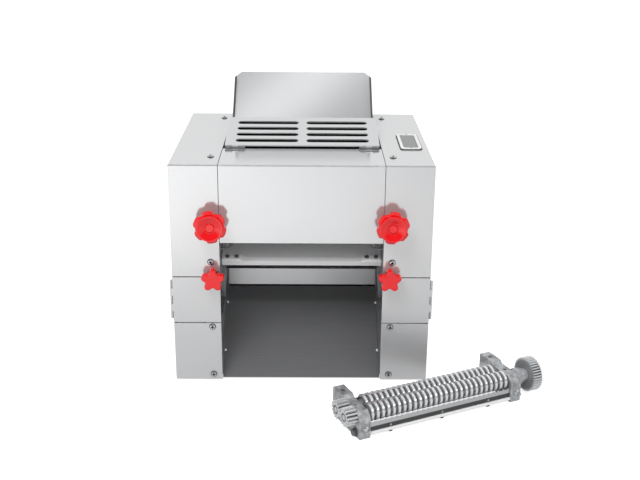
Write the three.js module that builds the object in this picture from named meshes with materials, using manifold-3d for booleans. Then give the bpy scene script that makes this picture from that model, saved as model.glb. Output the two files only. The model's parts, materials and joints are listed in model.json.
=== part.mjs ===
// Electric pasta maker with its detached noodle cutter, in millimetres, +Z up.
// X runs left to right, +Y points to the back, and the origin is the centre of the base
// plate's underside. The cutter stands by itself on the floor, in front and to the right.
import * as THREE from 'three';
import { mergeVertices } from 'three/addons/utils/BufferGeometryUtils.js';
import Module from 'manifold-3d';

const wasm = await Module();
wasm.setup();

// Driving sizes of the casing, whose width and height follow from what stands inside it
const bodyDepth = 388.5;
const openingWidth = 276.8;
const sideRoom = 13.5;
const gearHeadroom = 11.3;
const sheet = 1.5;
const casingDrop = 5;
const footHeight = 8;
const footRadius = 14;
const footInsetX = 30;
const footInsetY = 29;
const footSeatDepth = 1;

// Clearances and counts that all pieces share
const fitGap = 0.3;
const runGap = 0.1;
const overrun = 1;
const roundSides = 20;
const smallSides = 12;
const hingeSides = 8;
const weldReach = 1e-4;

// Base and side frames
const baseThick = 5;
const notchMargin = 10.8;
const framePlate = 10;
const flangeReach = 17.6;
const flangeThick = 6;
const bayInsetLow = 3.8;
const bayInsetHigh = 6.4;
const bayDepth = 102;
const bearingBoss = 8;
const bearingWall = 7;

// Column panels and doors
const seam = 1.6;
const doorHeight = 83.2;
const doorBelowRollers = 98.6;
const panelLip = 9;
const lipInset = 4;
const hingeOut = 2.6;
const hingeBack = 4;
const pinRadius = 1;
const knuckleRadius = 2.3;
const knuckleCount = 5;
const hingeMargin = 6;
const doorLeafReach = 22;
const doorLeafSheet = 1;
const doorEarWidth = 16;
const doorEarRise = 10;

// Front cover, back cover and feed plate
const coverBelowRollers = 36.5;
const coverToGuard = 1.75;
const coverSeam = 0.8;
const coverLip = 14;
const coverReturn = 20;
const flangeToFeed = 7.9;
const louvreWidth = 62;
const louvreHeight = 5;
const louvrePitch = 13;
const louvreRows = 6;
const louvreLow = 40;
const louvreOffset = 42;
const feedSideGap = 7.4;
const feedLength = 235;
const feedAfterRoller = 3.6;
const feedAboveRollers = 44.3;
const feedSlope = THREE.MathUtils.degToRad(37.4);
const feedChamfer = 12;
const feedLipMargin = 5.4;
const feedLipHeight = 12;
const feedTabLength = 16;
const feedTabThick = 8;

// Guard over the rollers
const guardSideGap = 3.9;
const guardLength = 126;
const guardSheet = 2;
const guardSlope = THREE.MathUtils.degToRad(10);
const guardBeforeRoller = 2.7;
const guardSkirt = 12;
const guardRearLip = 7;
const guardEdge = 2.6;
const slotRows = 4;
const slotHeight = 12;
const slotFirst = 22.5;
const slotLast = 24.3;
const slotInner = 7.1;
const slotSideMargin = 17.7;
const guardHingeInset = 1.5;
const guardHingeLength = 34;
const guardKnuckleRadius = 3;
const guardLeafReach = 14;

// Rollers, their gears and the drive
const rollerRadius = 28;
const rollerHeight = 286;
const rearRollerY = -21.5;
const closedGap = 1;
const gapTravel = 4;
const rollerEndGap = 2.4;
const journalRadius = 12.5;
const gearFace = 16;
const gearToBlock = 3;
const rollerGearTeeth = 19;
const rollerGearModule = 3;
const mainGearTeeth = 40;
const pinionTeeth = 12;
const driveModule = 3;
const driveAngle = THREE.MathUtils.degToRad(-44.8);
const pulleyGap = 5;
const pulleyWidth = 16;
const pulleyFlange = 3;
const largePulleyRadius = 65;
const motorPulleyRadius = 22;
const grooveDepth = 8;
const beltThick = 6;
const beltLift = 1;
const beltSideGap = 0.5;
const shaftRadius = 10;
const motorRadius = 55;
const motorEndRoom = 40.8;
const motorBackRoom = 24.25;
const motorLift = 11.7;
const motorRibs = 12;
const ribHeight = 4;
const motorFootWidth = 18;
const motorFootLength = 120;
const motorEndBell = 22;
const motorShaftRadius = 9;

// Bearing blocks and the adjusting screws
const blockFront = 40;
const blockRear = 24;
const blockHalfHeight = 30;
const blockReach = 15.6;
const blockCollar = 7;
const blockCollarRise = 8;
const screwInset = 12.4;
const screwRadius = 5;
const screwEngaged = 24;
const screwBoreExtra = 2.5;
const knobRadius = 27.7;
const knobLobes = 6;
const knobLobeDepth = 1.6;
const knobThick = 15;
const knobStandOff = 20;
const knobDiscRadius = 22.2;
const knobDiscRise = 6;
const knobDiscEdge = 1.5;
const knobRim = 3.5;
const knobDishDepth = 3;
const knobBossRadius = 7;
const knobNeckRadius = 11;
const knobNeckTop = 16;

// Star knobs and washers
const starInset = 10.6;
const starRise = 2.6;
const starRadius = 20;
const starLobes = 5;
const starLobeDepth = 3.2;
const starThick = 14;
const starStandOff = 10;
const starNeckRadius = 9;
const starScrewRadius = 3;
const starScrewDepth = 8;
const starHoleGap = 1.3;
const washerRadius = 10;
const washerThick = 1.5;

// Dough scraper and its springs
const scraperSlope = THREE.MathUtils.degToRad(29);
const scraperSheet = 2;
const scraperSetBack = 26.64;
const scraperLip = 10;
const scraperBladeOverlap = 2;
const scraperSideGap = 1;
const bracketLength = 34;
const bracketDepth = 14;
const bracketThick = 2;
const pivotRadius = 3;
const pivotDepth = 6.5;
const pivotInset = 6;
const pivotDrop = 5;
const springWire = 0.65;
const springRadius = 4.2;
const springCurls = 12;
const curlSteps = 8;
const wireSides = 5;
const postRadius = 2.5;
const postReach = 7.4;
const postAfterStart = 8.6;
const postAboveStart = 20.5;
const lugInset = 40.4;
const lugBeforeRoller = 59;
const lugWidth = 3;
const lugLength = 7;
const lugRise = 13;
const springLugDrop = 4;

// Chute and outlet bar
const chuteSetBack = 5.95;
const chuteDrop = 4;
const chuteBeforeRoller = 14.5;
const chuteSlope = THREE.MathUtils.degToRad(36.3);
const chuteLip = 28;
const outletBarGap = 2;
const outletBarLift = 2.1;
const outletBarHeight = 32;
const outletBarReturn = 12;

// Switch and power inlet
const switchInset = 30.5;
const switchBeforeRoller = 16.5;
const switchWidth = 36;
const switchLength = 104;
const switchRim = 5;
const switchRise = 2.7;
const switchCorner = 6;
const switchBodyWidth = 29;
const switchBodyLength = 96;
const switchBodyDepth = 25;
const membraneThick = 1;
const buttonWidth = 20;
const buttonLength = 36;
const buttonHeight = 8.2;
const buttonTravel = 2;
const buttonOffset = 24;
const inletInset = 35;
const inletZ = 60;
const inletWidth = 27;
const inletHeight = 20;
const inletDepth = 25;
const inletFlangeWidth = 48;
const inletFlangeHeight = 26;
const inletFlangeThick = 2.5;
const inletWall = 2;
const inletFloor = 6;
const inletPinWidth = 2;
const inletPinHeight = 4;
const inletPinLength = 13;
const inletPinPitch = 7;

// Noodle cutter
const cutterX = 93.3;
const cutterAhead = 201.45;
const cutterTurn = THREE.MathUtils.degToRad(25.33);
const cutterOverOpening = 32.8;
const cutterBlock = 20;
const cutterDepth = 95;
const cutterHeight = 50;
const cutterStep = 5;
const cutterPad = 34;
const cutterNose = 12;
const cutterNoseRise = 30;
const cutterHoleRadius = 4.5;
const cutterHoleDepth = 16;
const cutterRearHole = 78;
const cutterOilRadius = 3;
const cutterOilDepth = 8;
const cutterAxisFront = 20.5;
const cutterAxisHeight = 35;
const ringOverlap = 1.5;
const ringToCore = 1.1;
const ringSideGap = 0.425;
const ringEndGap = 4.5;
const ringCount = 27;
const ringSides = 10;
const cutterJournal = 8;
const cutterModule = 2;
const cutterPinionTeeth = 14;
const cutterPinionFace = 18;
const cutterGearTeeth = 38;
const cutterGearModule = 1.5;
const cutterGearFace = 15;
const cutterBossRadius = 15;
const cutterBossLength = 9;
const cutterHubRadius = 12;
const cutterHubLength = 13;
const cutterHubGap = 2;
const combBack = 4;
const combThick = 3;
const combLow = 10;
const combHigh = 24;
const combRail = 5;
const combRailHeight = 4;
const combSideGap = 0.85;
const combSlotDepth = 6;
const tieRodRadius = 4.5;
const tieRodBack = 8;
const tieRodHeight = 5.5;

// Shares and counts that outlines follow
const rootDepthShare = 1.25;
const toothShare = 0.86;
const pressureAngle = THREE.MathUtils.degToRad(20);
const footTopShare = 0.86;
const footBevelShare = 0.25;
const ribShares = [0, 0.4, 0.5, 0.9];
const noseTopShare = 0.25;
const buttonCornerShare = 0.125;
const knobLobeSteps = 5;
const starLobeSteps = 6;
const knobNotchPower = 3;

// Places across the machine, from its middle out to the side covers
const inner = openingWidth / 2;
const frameOuter = inner + framePlate;
const flangeX = frameOuter + flangeReach;
const gearStart = frameOuter + blockReach + gearToBlock;
const gearEnd = gearStart + gearFace;
const pulleyStart = gearEnd + pulleyGap;
const sideX = pulleyStart + pulleyWidth + pulleyGap / 2 + sideRoom;
const sideInner = sideX - sheet;
const screwX = inner + screwInset;
const starX = inner + starInset;
const guardHalfWidth = inner - guardSideGap;
const slotOuter = guardHalfWidth - slotSideMargin;
const guardHingeOuter = guardHalfWidth - guardHingeInset;
const guardHingeInner = guardHingeOuter - guardHingeLength;
const feedHalfWidth = inner - feedSideGap;
const switchX = sideX - switchInset;
const inletX = -sideX + inletInset;

// Places from front to back: the casing from its depth, the rest from the rear roller
const frontY = -bodyDepth / 2;
const backY = bodyDepth / 2;
const frameFront = frontY + sheet + fitGap;
const frameBack = backY - sheet - fitGap;
const frontRollerY = rearRollerY - 2 * rollerRadius - closedGap - gapTravel;
const guardFrontY = frontRollerY - guardBeforeRoller;
const coverTopEnd = guardFrontY - coverToGuard;
const switchY = rearRollerY - switchBeforeRoller;
const motorY = backY - motorBackRoom - motorFootLength / 2;
const slotPitch = (guardLength - slotFirst - slotLast) / (slotRows - 1);

// Heights: the rollers set the column, and the drive's main gear sets the top
const frameBase = baseThick + fitGap;
const mainGearTip = (mainGearTeeth + 2) * driveModule / 2;
const bodyTop = rollerHeight + mainGearTip + gearHeadroom + switchBodyDepth;
const frameTop = bodyTop - sheet - fitGap;
const doorHigh = rollerHeight - doorBelowRollers;
const doorLow = doorHigh - doorHeight;
const bayLow = doorLow + bayInsetLow;
const bayHigh = doorHigh - bayInsetHigh;
const starZ = doorHigh + starRise;
const coverBottom = rollerHeight - coverBelowRollers;
const motorZ = frameBase + motorLift + motorRadius;

// The feed plate's lower edge, and where it comes up through the top
const feedLowY = rearRollerY + feedAfterRoller;
const feedLowZ = rollerHeight + feedAboveRollers;
const feedCrossing = (bodyTop - feedLowZ) / Math.sin(feedSlope);
const feedLipStart = feedCrossing + feedLipMargin;
const backFlangeStart = feedLowY + feedCrossing * Math.cos(feedSlope) + flangeToFeed;

// The chute from its front edge up to the bar across its rear end
const chuteFrontY = frontY + chuteSetBack;
const chuteFrontZ = -chuteDrop;
const chuteRearY = rearRollerY - chuteBeforeRoller;
const chuteRearZ = chuteFrontZ + (chuteRearY - chuteFrontY) * Math.tan(chuteSlope);
const notchEnd = chuteFrontY + (baseThick - chuteFrontZ) / Math.tan(chuteSlope) + notchMargin;
const outletBarY = chuteRearY + outletBarGap;
const outletBarLow = chuteRearZ + outletBarLift;
const outletBarHigh = outletBarLow + outletBarHeight;

// The drive's idler, and the scraper from the front roller down to its front edge
const driveCentres = (mainGearTeeth + pinionTeeth) * driveModule / 2;
const idlerY = rearRollerY + driveCentres * Math.cos(driveAngle);
const idlerZ = rollerHeight + driveCentres * Math.sin(driveAngle);
const scraperTouch = rollerRadius + fitGap;
const scraperEndY = frontRollerY + scraperTouch * Math.sin(scraperSlope);
const scraperEndZ = rollerHeight - scraperTouch * Math.cos(scraperSlope);
const scraperY = frontY + scraperSetBack;
const scraperReach = (scraperEndY - scraperY) / Math.cos(scraperSlope);
const scraperLength = scraperReach + scraperBladeOverlap;
const scraperZ = scraperEndZ - scraperReach * Math.sin(scraperSlope);
const scraperHalf = inner - scraperSideGap;
const lugX = scraperHalf - lugInset;
const lugAlong = scraperReach - lugBeforeRoller;
const postY = scraperY + postAfterStart;
const postZ = scraperZ + postAboveStart;

// The cutter is as long as the opening, and its rings and slots share that length
const cutterY = frontY - cutterAhead;
const cutterSpan = openingWidth + cutterOverOpening;
const cutterCentres = cutterPinionTeeth * cutterModule;
const ringRadius = cutterCentres / 2 + ringOverlap;
const coreRadius = cutterCentres - ringRadius - ringToCore;
const ringRun = cutterSpan - 2 * cutterBlock - 2 * ringEndGap;
const ringPitch = (ringRun + ringSideGap) / (ringCount - 1 / 2);
const ringWidth = ringPitch / 2 - ringSideGap;
const combSlot = ringWidth + 2 * combSideGap;
const cutterGearStart = cutterBossLength + cutterHubGap + cutterHubLength;

// Finishes
const finish = {
  polishedSteel: [0xd4d5d6, 0.28, 1],
  brushedSteel: [0xb9babb, 0.36, 1],
  darkSteel: [0x6e6f71, 0.45, 1],
  castSteel: [0x8d8f92, 0.5, 1],
  brightSteel: [0xe2e3e4, 0.16, 1],
  redPlastic: [0xe01418, 0.25, 0],
  blackRubber: [0x1b1b1c, 0.85, 0],
  greyMembrane: [0x9b9c9d, 0.55, 0],
  whitePlastic: [0xf1f1f0, 0.4, 0],
  blackPlastic: [0x202123, 0.5, 0],
  greenPlastic: [0x2f8f4a, 0.4, 0],
  motorPaint: [0x3c4f66, 0.5, 0.1],
};

const machine = new THREE.Group();

// Drop the loose attributes, weld the corners and turn the faces outward
function weld(source) {
  const loose = source.index ? source.toNonIndexed() : source;
  const bare = new THREE.BufferGeometry();
  bare.setAttribute('position', loose.getAttribute('position').clone());
  const merged = mergeVertices(bare, weldReach);
  const corners = merged.index.array;
  const place = merged.getAttribute('position');
  const kept = [];
  let volume = 0;
  const a = new THREE.Vector3();
  const b = new THREE.Vector3();
  const c = new THREE.Vector3();
  for (let i = 0; i < corners.length; i += 3) {
    const [p, q, r] = [corners[i], corners[i + 1], corners[i + 2]];
    if (p === q || q === r || p === r) continue;
    kept.push([p, q, r]);
    a.fromBufferAttribute(place, p);
    b.fromBufferAttribute(place, q);
    c.fromBufferAttribute(place, r);
    volume += a.dot(b.cross(c));
  }
  const faces = volume < 0 ? kept.map(([p, q, r]) => [p, r, q]) : kept;
  merged.setIndex(faces.flat());
  return merged;
}

function toSolid(geometry) {
  const welded = weld(geometry);
  const vertProperties = new Float32Array(welded.getAttribute('position').array);
  const triVerts = new Uint32Array(welded.index.array);
  return new wasm.Manifold(new wasm.Mesh({ numProp: 3, vertProperties, triVerts }));
}

function toGeometry(solid) {
  const mesh = solid.getMesh();
  const geometry = new THREE.BufferGeometry();
  geometry.setAttribute('position', new THREE.BufferAttribute(mesh.vertProperties, mesh.numProp));
  geometry.setIndex(new THREE.BufferAttribute(mesh.triVerts, 1));
  return geometry;
}

function join(first, ...others) {
  return toGeometry(others.reduce((whole, next) => whole.add(toSolid(next)), toSolid(first)));
}

function cut(first, ...tools) {
  return toGeometry(tools.reduce((whole, next) => whole.subtract(toSolid(next)), toSolid(first)));
}

// The three ways to lay a flat outline: its own two axes, then the way it is drawn out
const layings = {
  x: new THREE.Matrix4().set(0, 0, 1, 0, 1, 0, 0, 0, 0, 1, 0, 0, 0, 0, 0, 1),
  y: new THREE.Matrix4().set(1, 0, 0, 0, 0, 0, -1, 0, 0, 1, 0, 0, 0, 0, 0, 1),
  z: new THREE.Matrix4(),
};
const turnings = {
  x: new THREE.Matrix4().set(0, 1, 0, 0, 1, 0, 0, 0, 0, 0, -1, 0, 0, 0, 0, 1),
  y: new THREE.Matrix4(),
  z: new THREE.Matrix4().set(1, 0, 0, 0, 0, 0, -1, 0, 0, 1, 0, 0, 0, 0, 0, 1),
};

function block([x0, x1], [y0, y1], [z0, z1]) {
  const geometry = new THREE.BoxGeometry(Math.abs(x1 - x0), Math.abs(y1 - y0), Math.abs(z1 - z0));
  return geometry.translate((x0 + x1) / 2, (y0 + y1) / 2, (z0 + z1) / 2);
}

// Draw an outline out along an axis; along x the outline is in y and z, along y in x and z
function prism(outline, axis, [from, to], holes = []) {
  const shape = new THREE.Shape(outline.map(([u, v]) => new THREE.Vector2(u, v)));
  shape.holes = holes.map((hole) => new THREE.Path(hole.map(([u, v]) => new THREE.Vector2(u, v))));
  const depth = Math.abs(to - from);
  const geometry = new THREE.ExtrudeGeometry(shape, { depth, bevelEnabled: false });
  geometry.applyMatrix4(layings[axis]);
  const low = Math.min(from, to);
  if (axis === 'x') return geometry.translate(low, 0, 0);
  if (axis === 'y') return geometry.translate(0, low + depth, 0);
  return geometry.translate(0, 0, low);
}

function arc(centre, radius, from, to, steps) {
  const points = [];
  for (let i = 0; i <= steps; i += 1) {
    const angle = from + (to - from) * i / steps;
    points.push([centre[0] + radius * Math.cos(angle), centre[1] + radius * Math.sin(angle)]);
  }
  return points;
}

function circle(centre, radius, sides = roundSides) {
  return arc(centre, radius, 0, 2 * Math.PI, sides).slice(0, sides);
}

function rod(axis, centre, radius, span, sides = roundSides) {
  return prism(circle(centre, radius, sides), axis, span);
}

// A hole that a round of the given radius turns in without touching its flat sides
function boreFor(radius, clearance, sides = roundSides) {
  return (radius + clearance) / Math.cos(Math.PI / sides);
}

// Turn a profile of [radius, place along the axis] pairs that starts and ends on the axis
function turned(axis, [u, v], profile, sides = roundSides) {
  const points = profile.map(([radius, along]) => new THREE.Vector2(radius, along));
  const geometry = new THREE.LatheGeometry(points, sides).applyMatrix4(turnings[axis]);
  if (axis === 'x') return geometry.translate(0, u, v);
  if (axis === 'y') return geometry.translate(u, 0, v);
  return geometry.translate(u, v, 0);
}

function roundedBox([u, v], width, height, radius, steps = 3) {
  const right = u + width / 2 - radius;
  const left = u - width / 2 + radius;
  const top = v + height / 2 - radius;
  const bottom = v - height / 2 + radius;
  const quarter = Math.PI / 2;
  return [
    ...arc([right, top], radius, 0, quarter, steps),
    ...arc([left, top], radius, quarter, 2 * quarter, steps),
    ...arc([left, bottom], radius, 2 * quarter, 3 * quarter, steps),
    ...arc([right, bottom], radius, 3 * quarter, 4 * quarter, steps),
  ];
}

// Give a bent line a thickness on its left side, with mitred bends
function bent(path, thick) {
  const offset = path.map((point, i) => {
    const before = path[Math.max(i - 1, 0)];
    const after = path[Math.min(i + 1, path.length - 1)];
    const sides = [];
    if (i > 0) sides.push(normalOf(before, point));
    if (i < path.length - 1) sides.push(normalOf(point, after));
    const sum = sides.reduce((all, [u, v]) => [all[0] + u, all[1] + v], [0, 0]);
    const size = Math.hypot(...sum);
    const stretch = sides.length * thick / (size * size) * (sides.length === 1 ? size : 1);
    return [point[0] + sum[0] * stretch, point[1] + sum[1] * stretch];
  });
  return [...path, ...offset.reverse()];
}

function normalOf([u0, v0], [u1, v1]) {
  const size = Math.hypot(u1 - u0, v1 - v0);
  return [-(v1 - v0) / size, (u1 - u0) / size];
}

// Spur gear outline with flanks drawn from root to tip; the first tooth points along the phase angle
function gearOutline(teeth, size, phase, [u, v]) {
  const pitch = teeth * size / 2;
  const base = pitch * Math.cos(pressureAngle);
  const involute = (angle) => Math.tan(angle) - angle;
  const halfAt = (radius) => {
    const angle = Math.acos(base / Math.max(radius, base));
    return toothShare * Math.PI / (2 * teeth) + involute(pressureAngle) - involute(angle);
  };
  const levels = [pitch - rootDepthShare * size, pitch + size];
  const points = [];
  for (let i = 0; i < teeth; i += 1) {
    const middle = phase + i * 2 * Math.PI / teeth;
    const rising = levels.map((radius) => [radius, middle - halfAt(radius)]);
    const falling = levels.map((radius) => [radius, middle + halfAt(radius)]).reverse();
    points.push(...rising, ...falling);
  }
  return points.map(([radius, angle]) => [u + radius * Math.cos(angle), v + radius * Math.sin(angle)]);
}

function spurGear(teeth, size, phase, centre, span, bore) {
  return prism(gearOutline(teeth, size, phase, centre), 'x', span, [circle(centre, bore, smallSides)]);
}

// Knob outline whose rim swells into lobes; a higher power makes the notches between them narrower
function lobed([u, v], radius, lobes, depth, stepsPerLobe, power = 1) {
  const points = [];
  const count = lobes * stepsPerLobe;
  for (let i = 0; i < count; i += 1) {
    const angle = Math.PI / 2 + i * 2 * Math.PI / count;
    const dip = (1 - Math.cos(lobes * (angle - Math.PI / 2))) / 2;
    const reach = radius - 2 * depth * dip ** power;
    points.push([u + reach * Math.cos(angle), v + reach * Math.sin(angle)]);
  }
  return points;
}

function add(name, geometry, [color, roughness, metalness], holder = machine) {
  const material = new THREE.MeshStandardMaterial({ color, roughness, metalness });
  const mesh = new THREE.Mesh(weld(geometry), material);
  mesh.name = name;
  holder.add(mesh);
  return mesh;
}

// Both ends of a span on one side of the machine, where side is -1 for left and 1 for right
function onSide(side, near, far) {
  return side < 0 ? [-far, -near] : [near, far];
}

// Base plate, notched for the chute, with a shallow round seat for each foot
function makeBase() {
  const plate = block(
    [-sideInner + fitGap, sideInner - fitGap],
    [frameFront, frameBack],
    [0, baseThick],
  );
  const notch = block(
    [-inner - fitGap, inner + fitGap],
    [frameFront - overrun, notchEnd],
    [-overrun, baseThick + overrun],
  );
  const seatRadius = boreFor(footRadius, fitGap, smallSides);
  const seats = [];
  const footTop = footSeatDepth - fitGap;
  for (const [row, ySide] of [['front', -1], ['rear', 1]]) {
    for (const [hand, side] of [['left', -1], ['right', 1]]) {
      const centre = [side * (sideX - footInsetX), ySide * (backY - footInsetY)];
      const profile = [
        [0, -footHeight],
        [footRadius * (1 - footBevelShare / 2), -footHeight],
        [footRadius, -footHeight + footHeight * footBevelShare],
        [footRadius * footTopShare, footTop],
        [0, footTop],
      ];
      add(`${row}_${hand}_foot`, turned('z', centre, profile, smallSides), finish.blackRubber);
      seats.push(rod('z', centre, seatRadius, [-overrun, footSeatDepth], smallSides));
    }
  }
  add('base_plate', cut(plate, notch, ...seats), finish.darkSteel);
}

// Cast side frame: a plate with a flange all round that points outward
function makeFramePlate(name, side) {
  const outline = block(onSide(side, inner, flangeX), [frameFront, frameBack], [frameBase, frameTop]);
  const hollow = block(
    onSide(side, frameOuter, flangeX + overrun),
    [frameFront + flangeThick, frameBack - flangeThick],
    [frameBase + flangeThick, frameTop - flangeThick],
  );
  const through = onSide(side, inner - overrun, flangeX + overrun);
  const bay = block(through, [frameFront - overrun, frameFront + bayDepth], [bayLow, bayHigh]);
  const window = block(
    through,
    [frontRollerY - blockFront - fitGap, frontRollerY + blockRear + gapTravel + fitGap],
    [rollerHeight - blockHalfHeight - fitGap, rollerHeight + blockHalfHeight + fitGap],
  );
  const bossSpan = onSide(side, frameOuter - overrun, frameOuter + bearingBoss);
  const rollerBore = boreFor(journalRadius, runGap);
  const bosses = [rod('x', [rearRollerY, rollerHeight], rollerBore + bearingWall, bossSpan)];
  const holes = [
    rod('x', [rearRollerY, rollerHeight], rollerBore, through),
    rod('x', [scraperPivot[0], scraperPivot[1]], boreFor(pivotRadius, runGap, smallSides),
      onSide(side, inner - overrun, inner + pivotDepth + fitGap), smallSides),
    rod('y', [side * screwX, rollerHeight], boreFor(screwRadius, fitGap, smallSides),
      [frameFront - overrun, frontRollerY - blockFront], smallSides),
    rod('y', [side * starX, starZ], boreFor(starScrewRadius, starHoleGap, smallSides),
      [frameFront - overrun, frameFront + starScrewDepth + overrun], smallSides),
  ];
  if (side > 0) {
    const idlerBore = boreFor(shaftRadius, runGap);
    bosses.push(rod('x', [idlerY, idlerZ], idlerBore + bearingWall, bossSpan));
    holes.push(rod('x', [idlerY, idlerZ], idlerBore, through));
    holes.push(rod('x', [motorY, motorZ], boreFor(motorShaftRadius, overrun), through));
  }
  const postSpan = onSide(side, inner - postReach, inner + overrun);
  const post = rod('x', [postY, postZ], postRadius, postSpan, smallSides);
  const tray = cut(outline, hollow, bay, window);
  add(name, cut(join(tray, ...bosses, post), ...holes), finish.castSteel);
}

// Side cover: one sheet bent over from the side wall to the top
function makeSideCover(name, side) {
  const path = [[side * sideX, -casingDrop], [side * sideX, bodyTop], [side * inner, bodyTop]];
  const outline = bent(path, side * sheet);
  const cover = prism(outline, 'y', [frameFront, frameBack]);
  if (side < 0) {
    add(name, cover, finish.polishedSteel);
    return;
  }
  const opening = block(
    [switchX - switchBodyWidth / 2 - fitGap, switchX + switchBodyWidth / 2 + fitGap],
    [switchY - switchBodyLength / 2 - fitGap, switchY + switchBodyLength / 2 + fitGap],
    [bodyTop - sheet - overrun, bodyTop + overrun],
  );
  add(name, cut(cover, opening), finish.polishedSteel);
}

// Front sheet of a column, with a stiffening lip folded in along its top and bottom
function columnSheet(side, low, high, lipTop) {
  const lipSpan = onSide(side, flangeX + lipInset, sideInner - lipInset);
  const lipDepth = [frontY + sheet / 2, frontY + sheet + panelLip];
  return join(
    block(onSide(side, inner, sideX), [frontY, frontY + sheet], [low, high]),
    block(lipSpan, lipDepth, [low, low + sheet]),
    block(lipSpan, lipDepth, [lipTop - sheet, lipTop]),
  );
}

function makeColumnPanels(hand, side) {
  const lowHigh = doorLow - seam;
  const highLow = doorHigh + seam;
  add(`${hand}_lower_panel`, columnSheet(side, -casingDrop, lowHigh, lowHigh), finish.polishedSteel);
  const through = [frontY - overrun, frontY + sheet + overrun];
  const screwHole = rod('y', [side * screwX, rollerHeight], boreFor(screwRadius, fitGap, smallSides), through,
    smallSides);
  const earGap = doorEarWidth / 2 + seam;
  const notch = block([side * starX - earGap, side * starX + earGap], through,
    [highLow - overrun, doorHigh + doorEarRise + seam]);
  const upper = cut(columnSheet(side, highLow, bodyTop, frameTop), screwHole, notch);
  add(`${hand}_upper_panel`, upper, finish.polishedSteel);
}

const doorAxisX = sideX + hingeOut;
const doorAxisY = frontY + hingeBack;
const knuckleLow = doorLow + hingeMargin;
const knuckleHigh = doorHigh - hingeMargin;
const knuckleStep = (knuckleHigh - knuckleLow) / knuckleCount;

// Knuckles of one leaf of a door hinge: every second one, counted from the first given
function doorKnuckles(side, first, bore) {
  const centre = [side * doorAxisX, doorAxisY];
  const knuckles = [];
  for (let i = first; i < knuckleCount; i += 2) {
    const from = knuckleLow + i * knuckleStep + fitGap / 2;
    const to = knuckleLow + (i + 1) * knuckleStep - fitGap / 2;
    const hole = bore ? [circle(centre, bore, hingeSides)] : [];
    knuckles.push(prism(circle(centre, knuckleRadius, hingeSides), 'z', [from, to], hole));
  }
  return knuckles;
}

function makeDoor(hand, side) {
  const centre = [side * doorAxisX, doorAxisY];
  const pin = rod('z', centre, pinRadius, [knuckleLow, knuckleHigh], hingeSides);
  const leaf = block(
    onSide(side, sideX + fitGap, sideX + fitGap + doorLeafSheet),
    [doorAxisY, doorAxisY + doorLeafReach],
    [knuckleLow + fitGap / 2, knuckleHigh - fitGap / 2],
  );
  const clearance = [];
  for (let i = 1; i < knuckleCount; i += 2) {
    const low = knuckleLow + i * knuckleStep;
    const span = [low - fitGap / 2, low + knuckleStep + fitGap / 2];
    clearance.push(rod('z', centre, boreFor(knuckleRadius, fitGap, hingeSides), span, hingeSides));
  }
  const fixedHalf = join(cut(leaf, ...clearance), ...doorKnuckles(side, 0, 0), pin);
  add(`${hand}_door_hinge`, fixedHalf, finish.brightSteel);

  const knuckles = doorKnuckles(side, 1, boreFor(pinRadius, runGap, hingeSides));
  const webs = [];
  const bores = [];
  for (let i = 1; i < knuckleCount; i += 2) {
    const low = knuckleLow + i * knuckleStep;
    const span = [low + fitGap / 2, low + knuckleStep - fitGap / 2];
    webs.push(block(onSide(side, sideX - sheet, doorAxisX + doorLeafSheet), [frontY, frontY + sheet], span));
    webs.push(block(onSide(side, doorAxisX - doorLeafSheet, doorAxisX + doorLeafSheet),
      [frontY + sheet / 2, doorAxisY - pinRadius], span));
    bores.push(rod('z', centre, boreFor(pinRadius, runGap, hingeSides),
      [span[0] - overrun, span[1] + overrun], hingeSides));
  }
  const ear = block(
    [side * starX - doorEarWidth / 2, side * starX + doorEarWidth / 2],
    [frontY, frontY + sheet],
    [doorHigh - overrun, doorHigh + doorEarRise],
  );
  const screwHole = rod('y', [side * starX, starZ], boreFor(starScrewRadius, fitGap, hingeSides),
    [frontY - overrun, frontY + sheet + overrun], hingeSides);
  const door = join(columnSheet(side, doorLow, doorHigh, doorHigh), ear, ...knuckles, ...webs);
  add(`${hand}_door`, cut(door, screwHole, ...bores), finish.polishedSteel);
}

function makeFrontCover() {
  const half = inner - coverSeam;
  const path = [
    [frontY + coverLip, coverBottom],
    [frontY, coverBottom],
    [frontY, bodyTop],
    [coverTopEnd, bodyTop],
  ];
  const wrap = prism(bent(path, -sheet), 'x', [-half, half]);
  const returns = [-1, 1].map((side) => block(
    onSide(side, half - sheet, half),
    [frontY + sheet / 2, frontY + coverReturn],
    [coverBottom + sheet / 2, bodyTop - sheet / 2],
  ));
  add('front_cover', join(wrap, ...returns), finish.polishedSteel);
}

function makeBackCover() {
  const half = sideInner - fitGap;
  const wall = block([-half, half], [backY - sheet, backY], [-casingDrop, bodyTop - sheet - fitGap]);
  const flange = block(
    [-inner + fitGap, inner - fitGap],
    [backFlangeStart, backY],
    [bodyTop - sheet, bodyTop],
  );
  const neck = block(
    [-inner + fitGap, inner - fitGap],
    [backY - sheet, backY],
    [bodyTop - sheet - overrun, bodyTop],
  );
  const through = [backY - sheet - overrun, backY + overrun];
  const louvres = [];
  for (let row = 0; row < louvreRows; row += 1) {
    const low = louvreLow + row * louvrePitch;
    for (const side of [-1, 1]) {
      const middle = side * louvreOffset;
      const width = [middle - louvreWidth / 2, middle + louvreWidth / 2];
      louvres.push(block(width, through, [low, low + louvreHeight]));
    }
  }
  const inlet = block(
    [inletX - inletWidth / 2 - fitGap, inletX + inletWidth / 2 + fitGap],
    through,
    [inletZ - inletHeight / 2 - fitGap, inletZ + inletHeight / 2 + fitGap],
  );
  add('back_cover', cut(join(wall, neck, flange), ...louvres, inlet), finish.brushedSteel);
}

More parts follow.
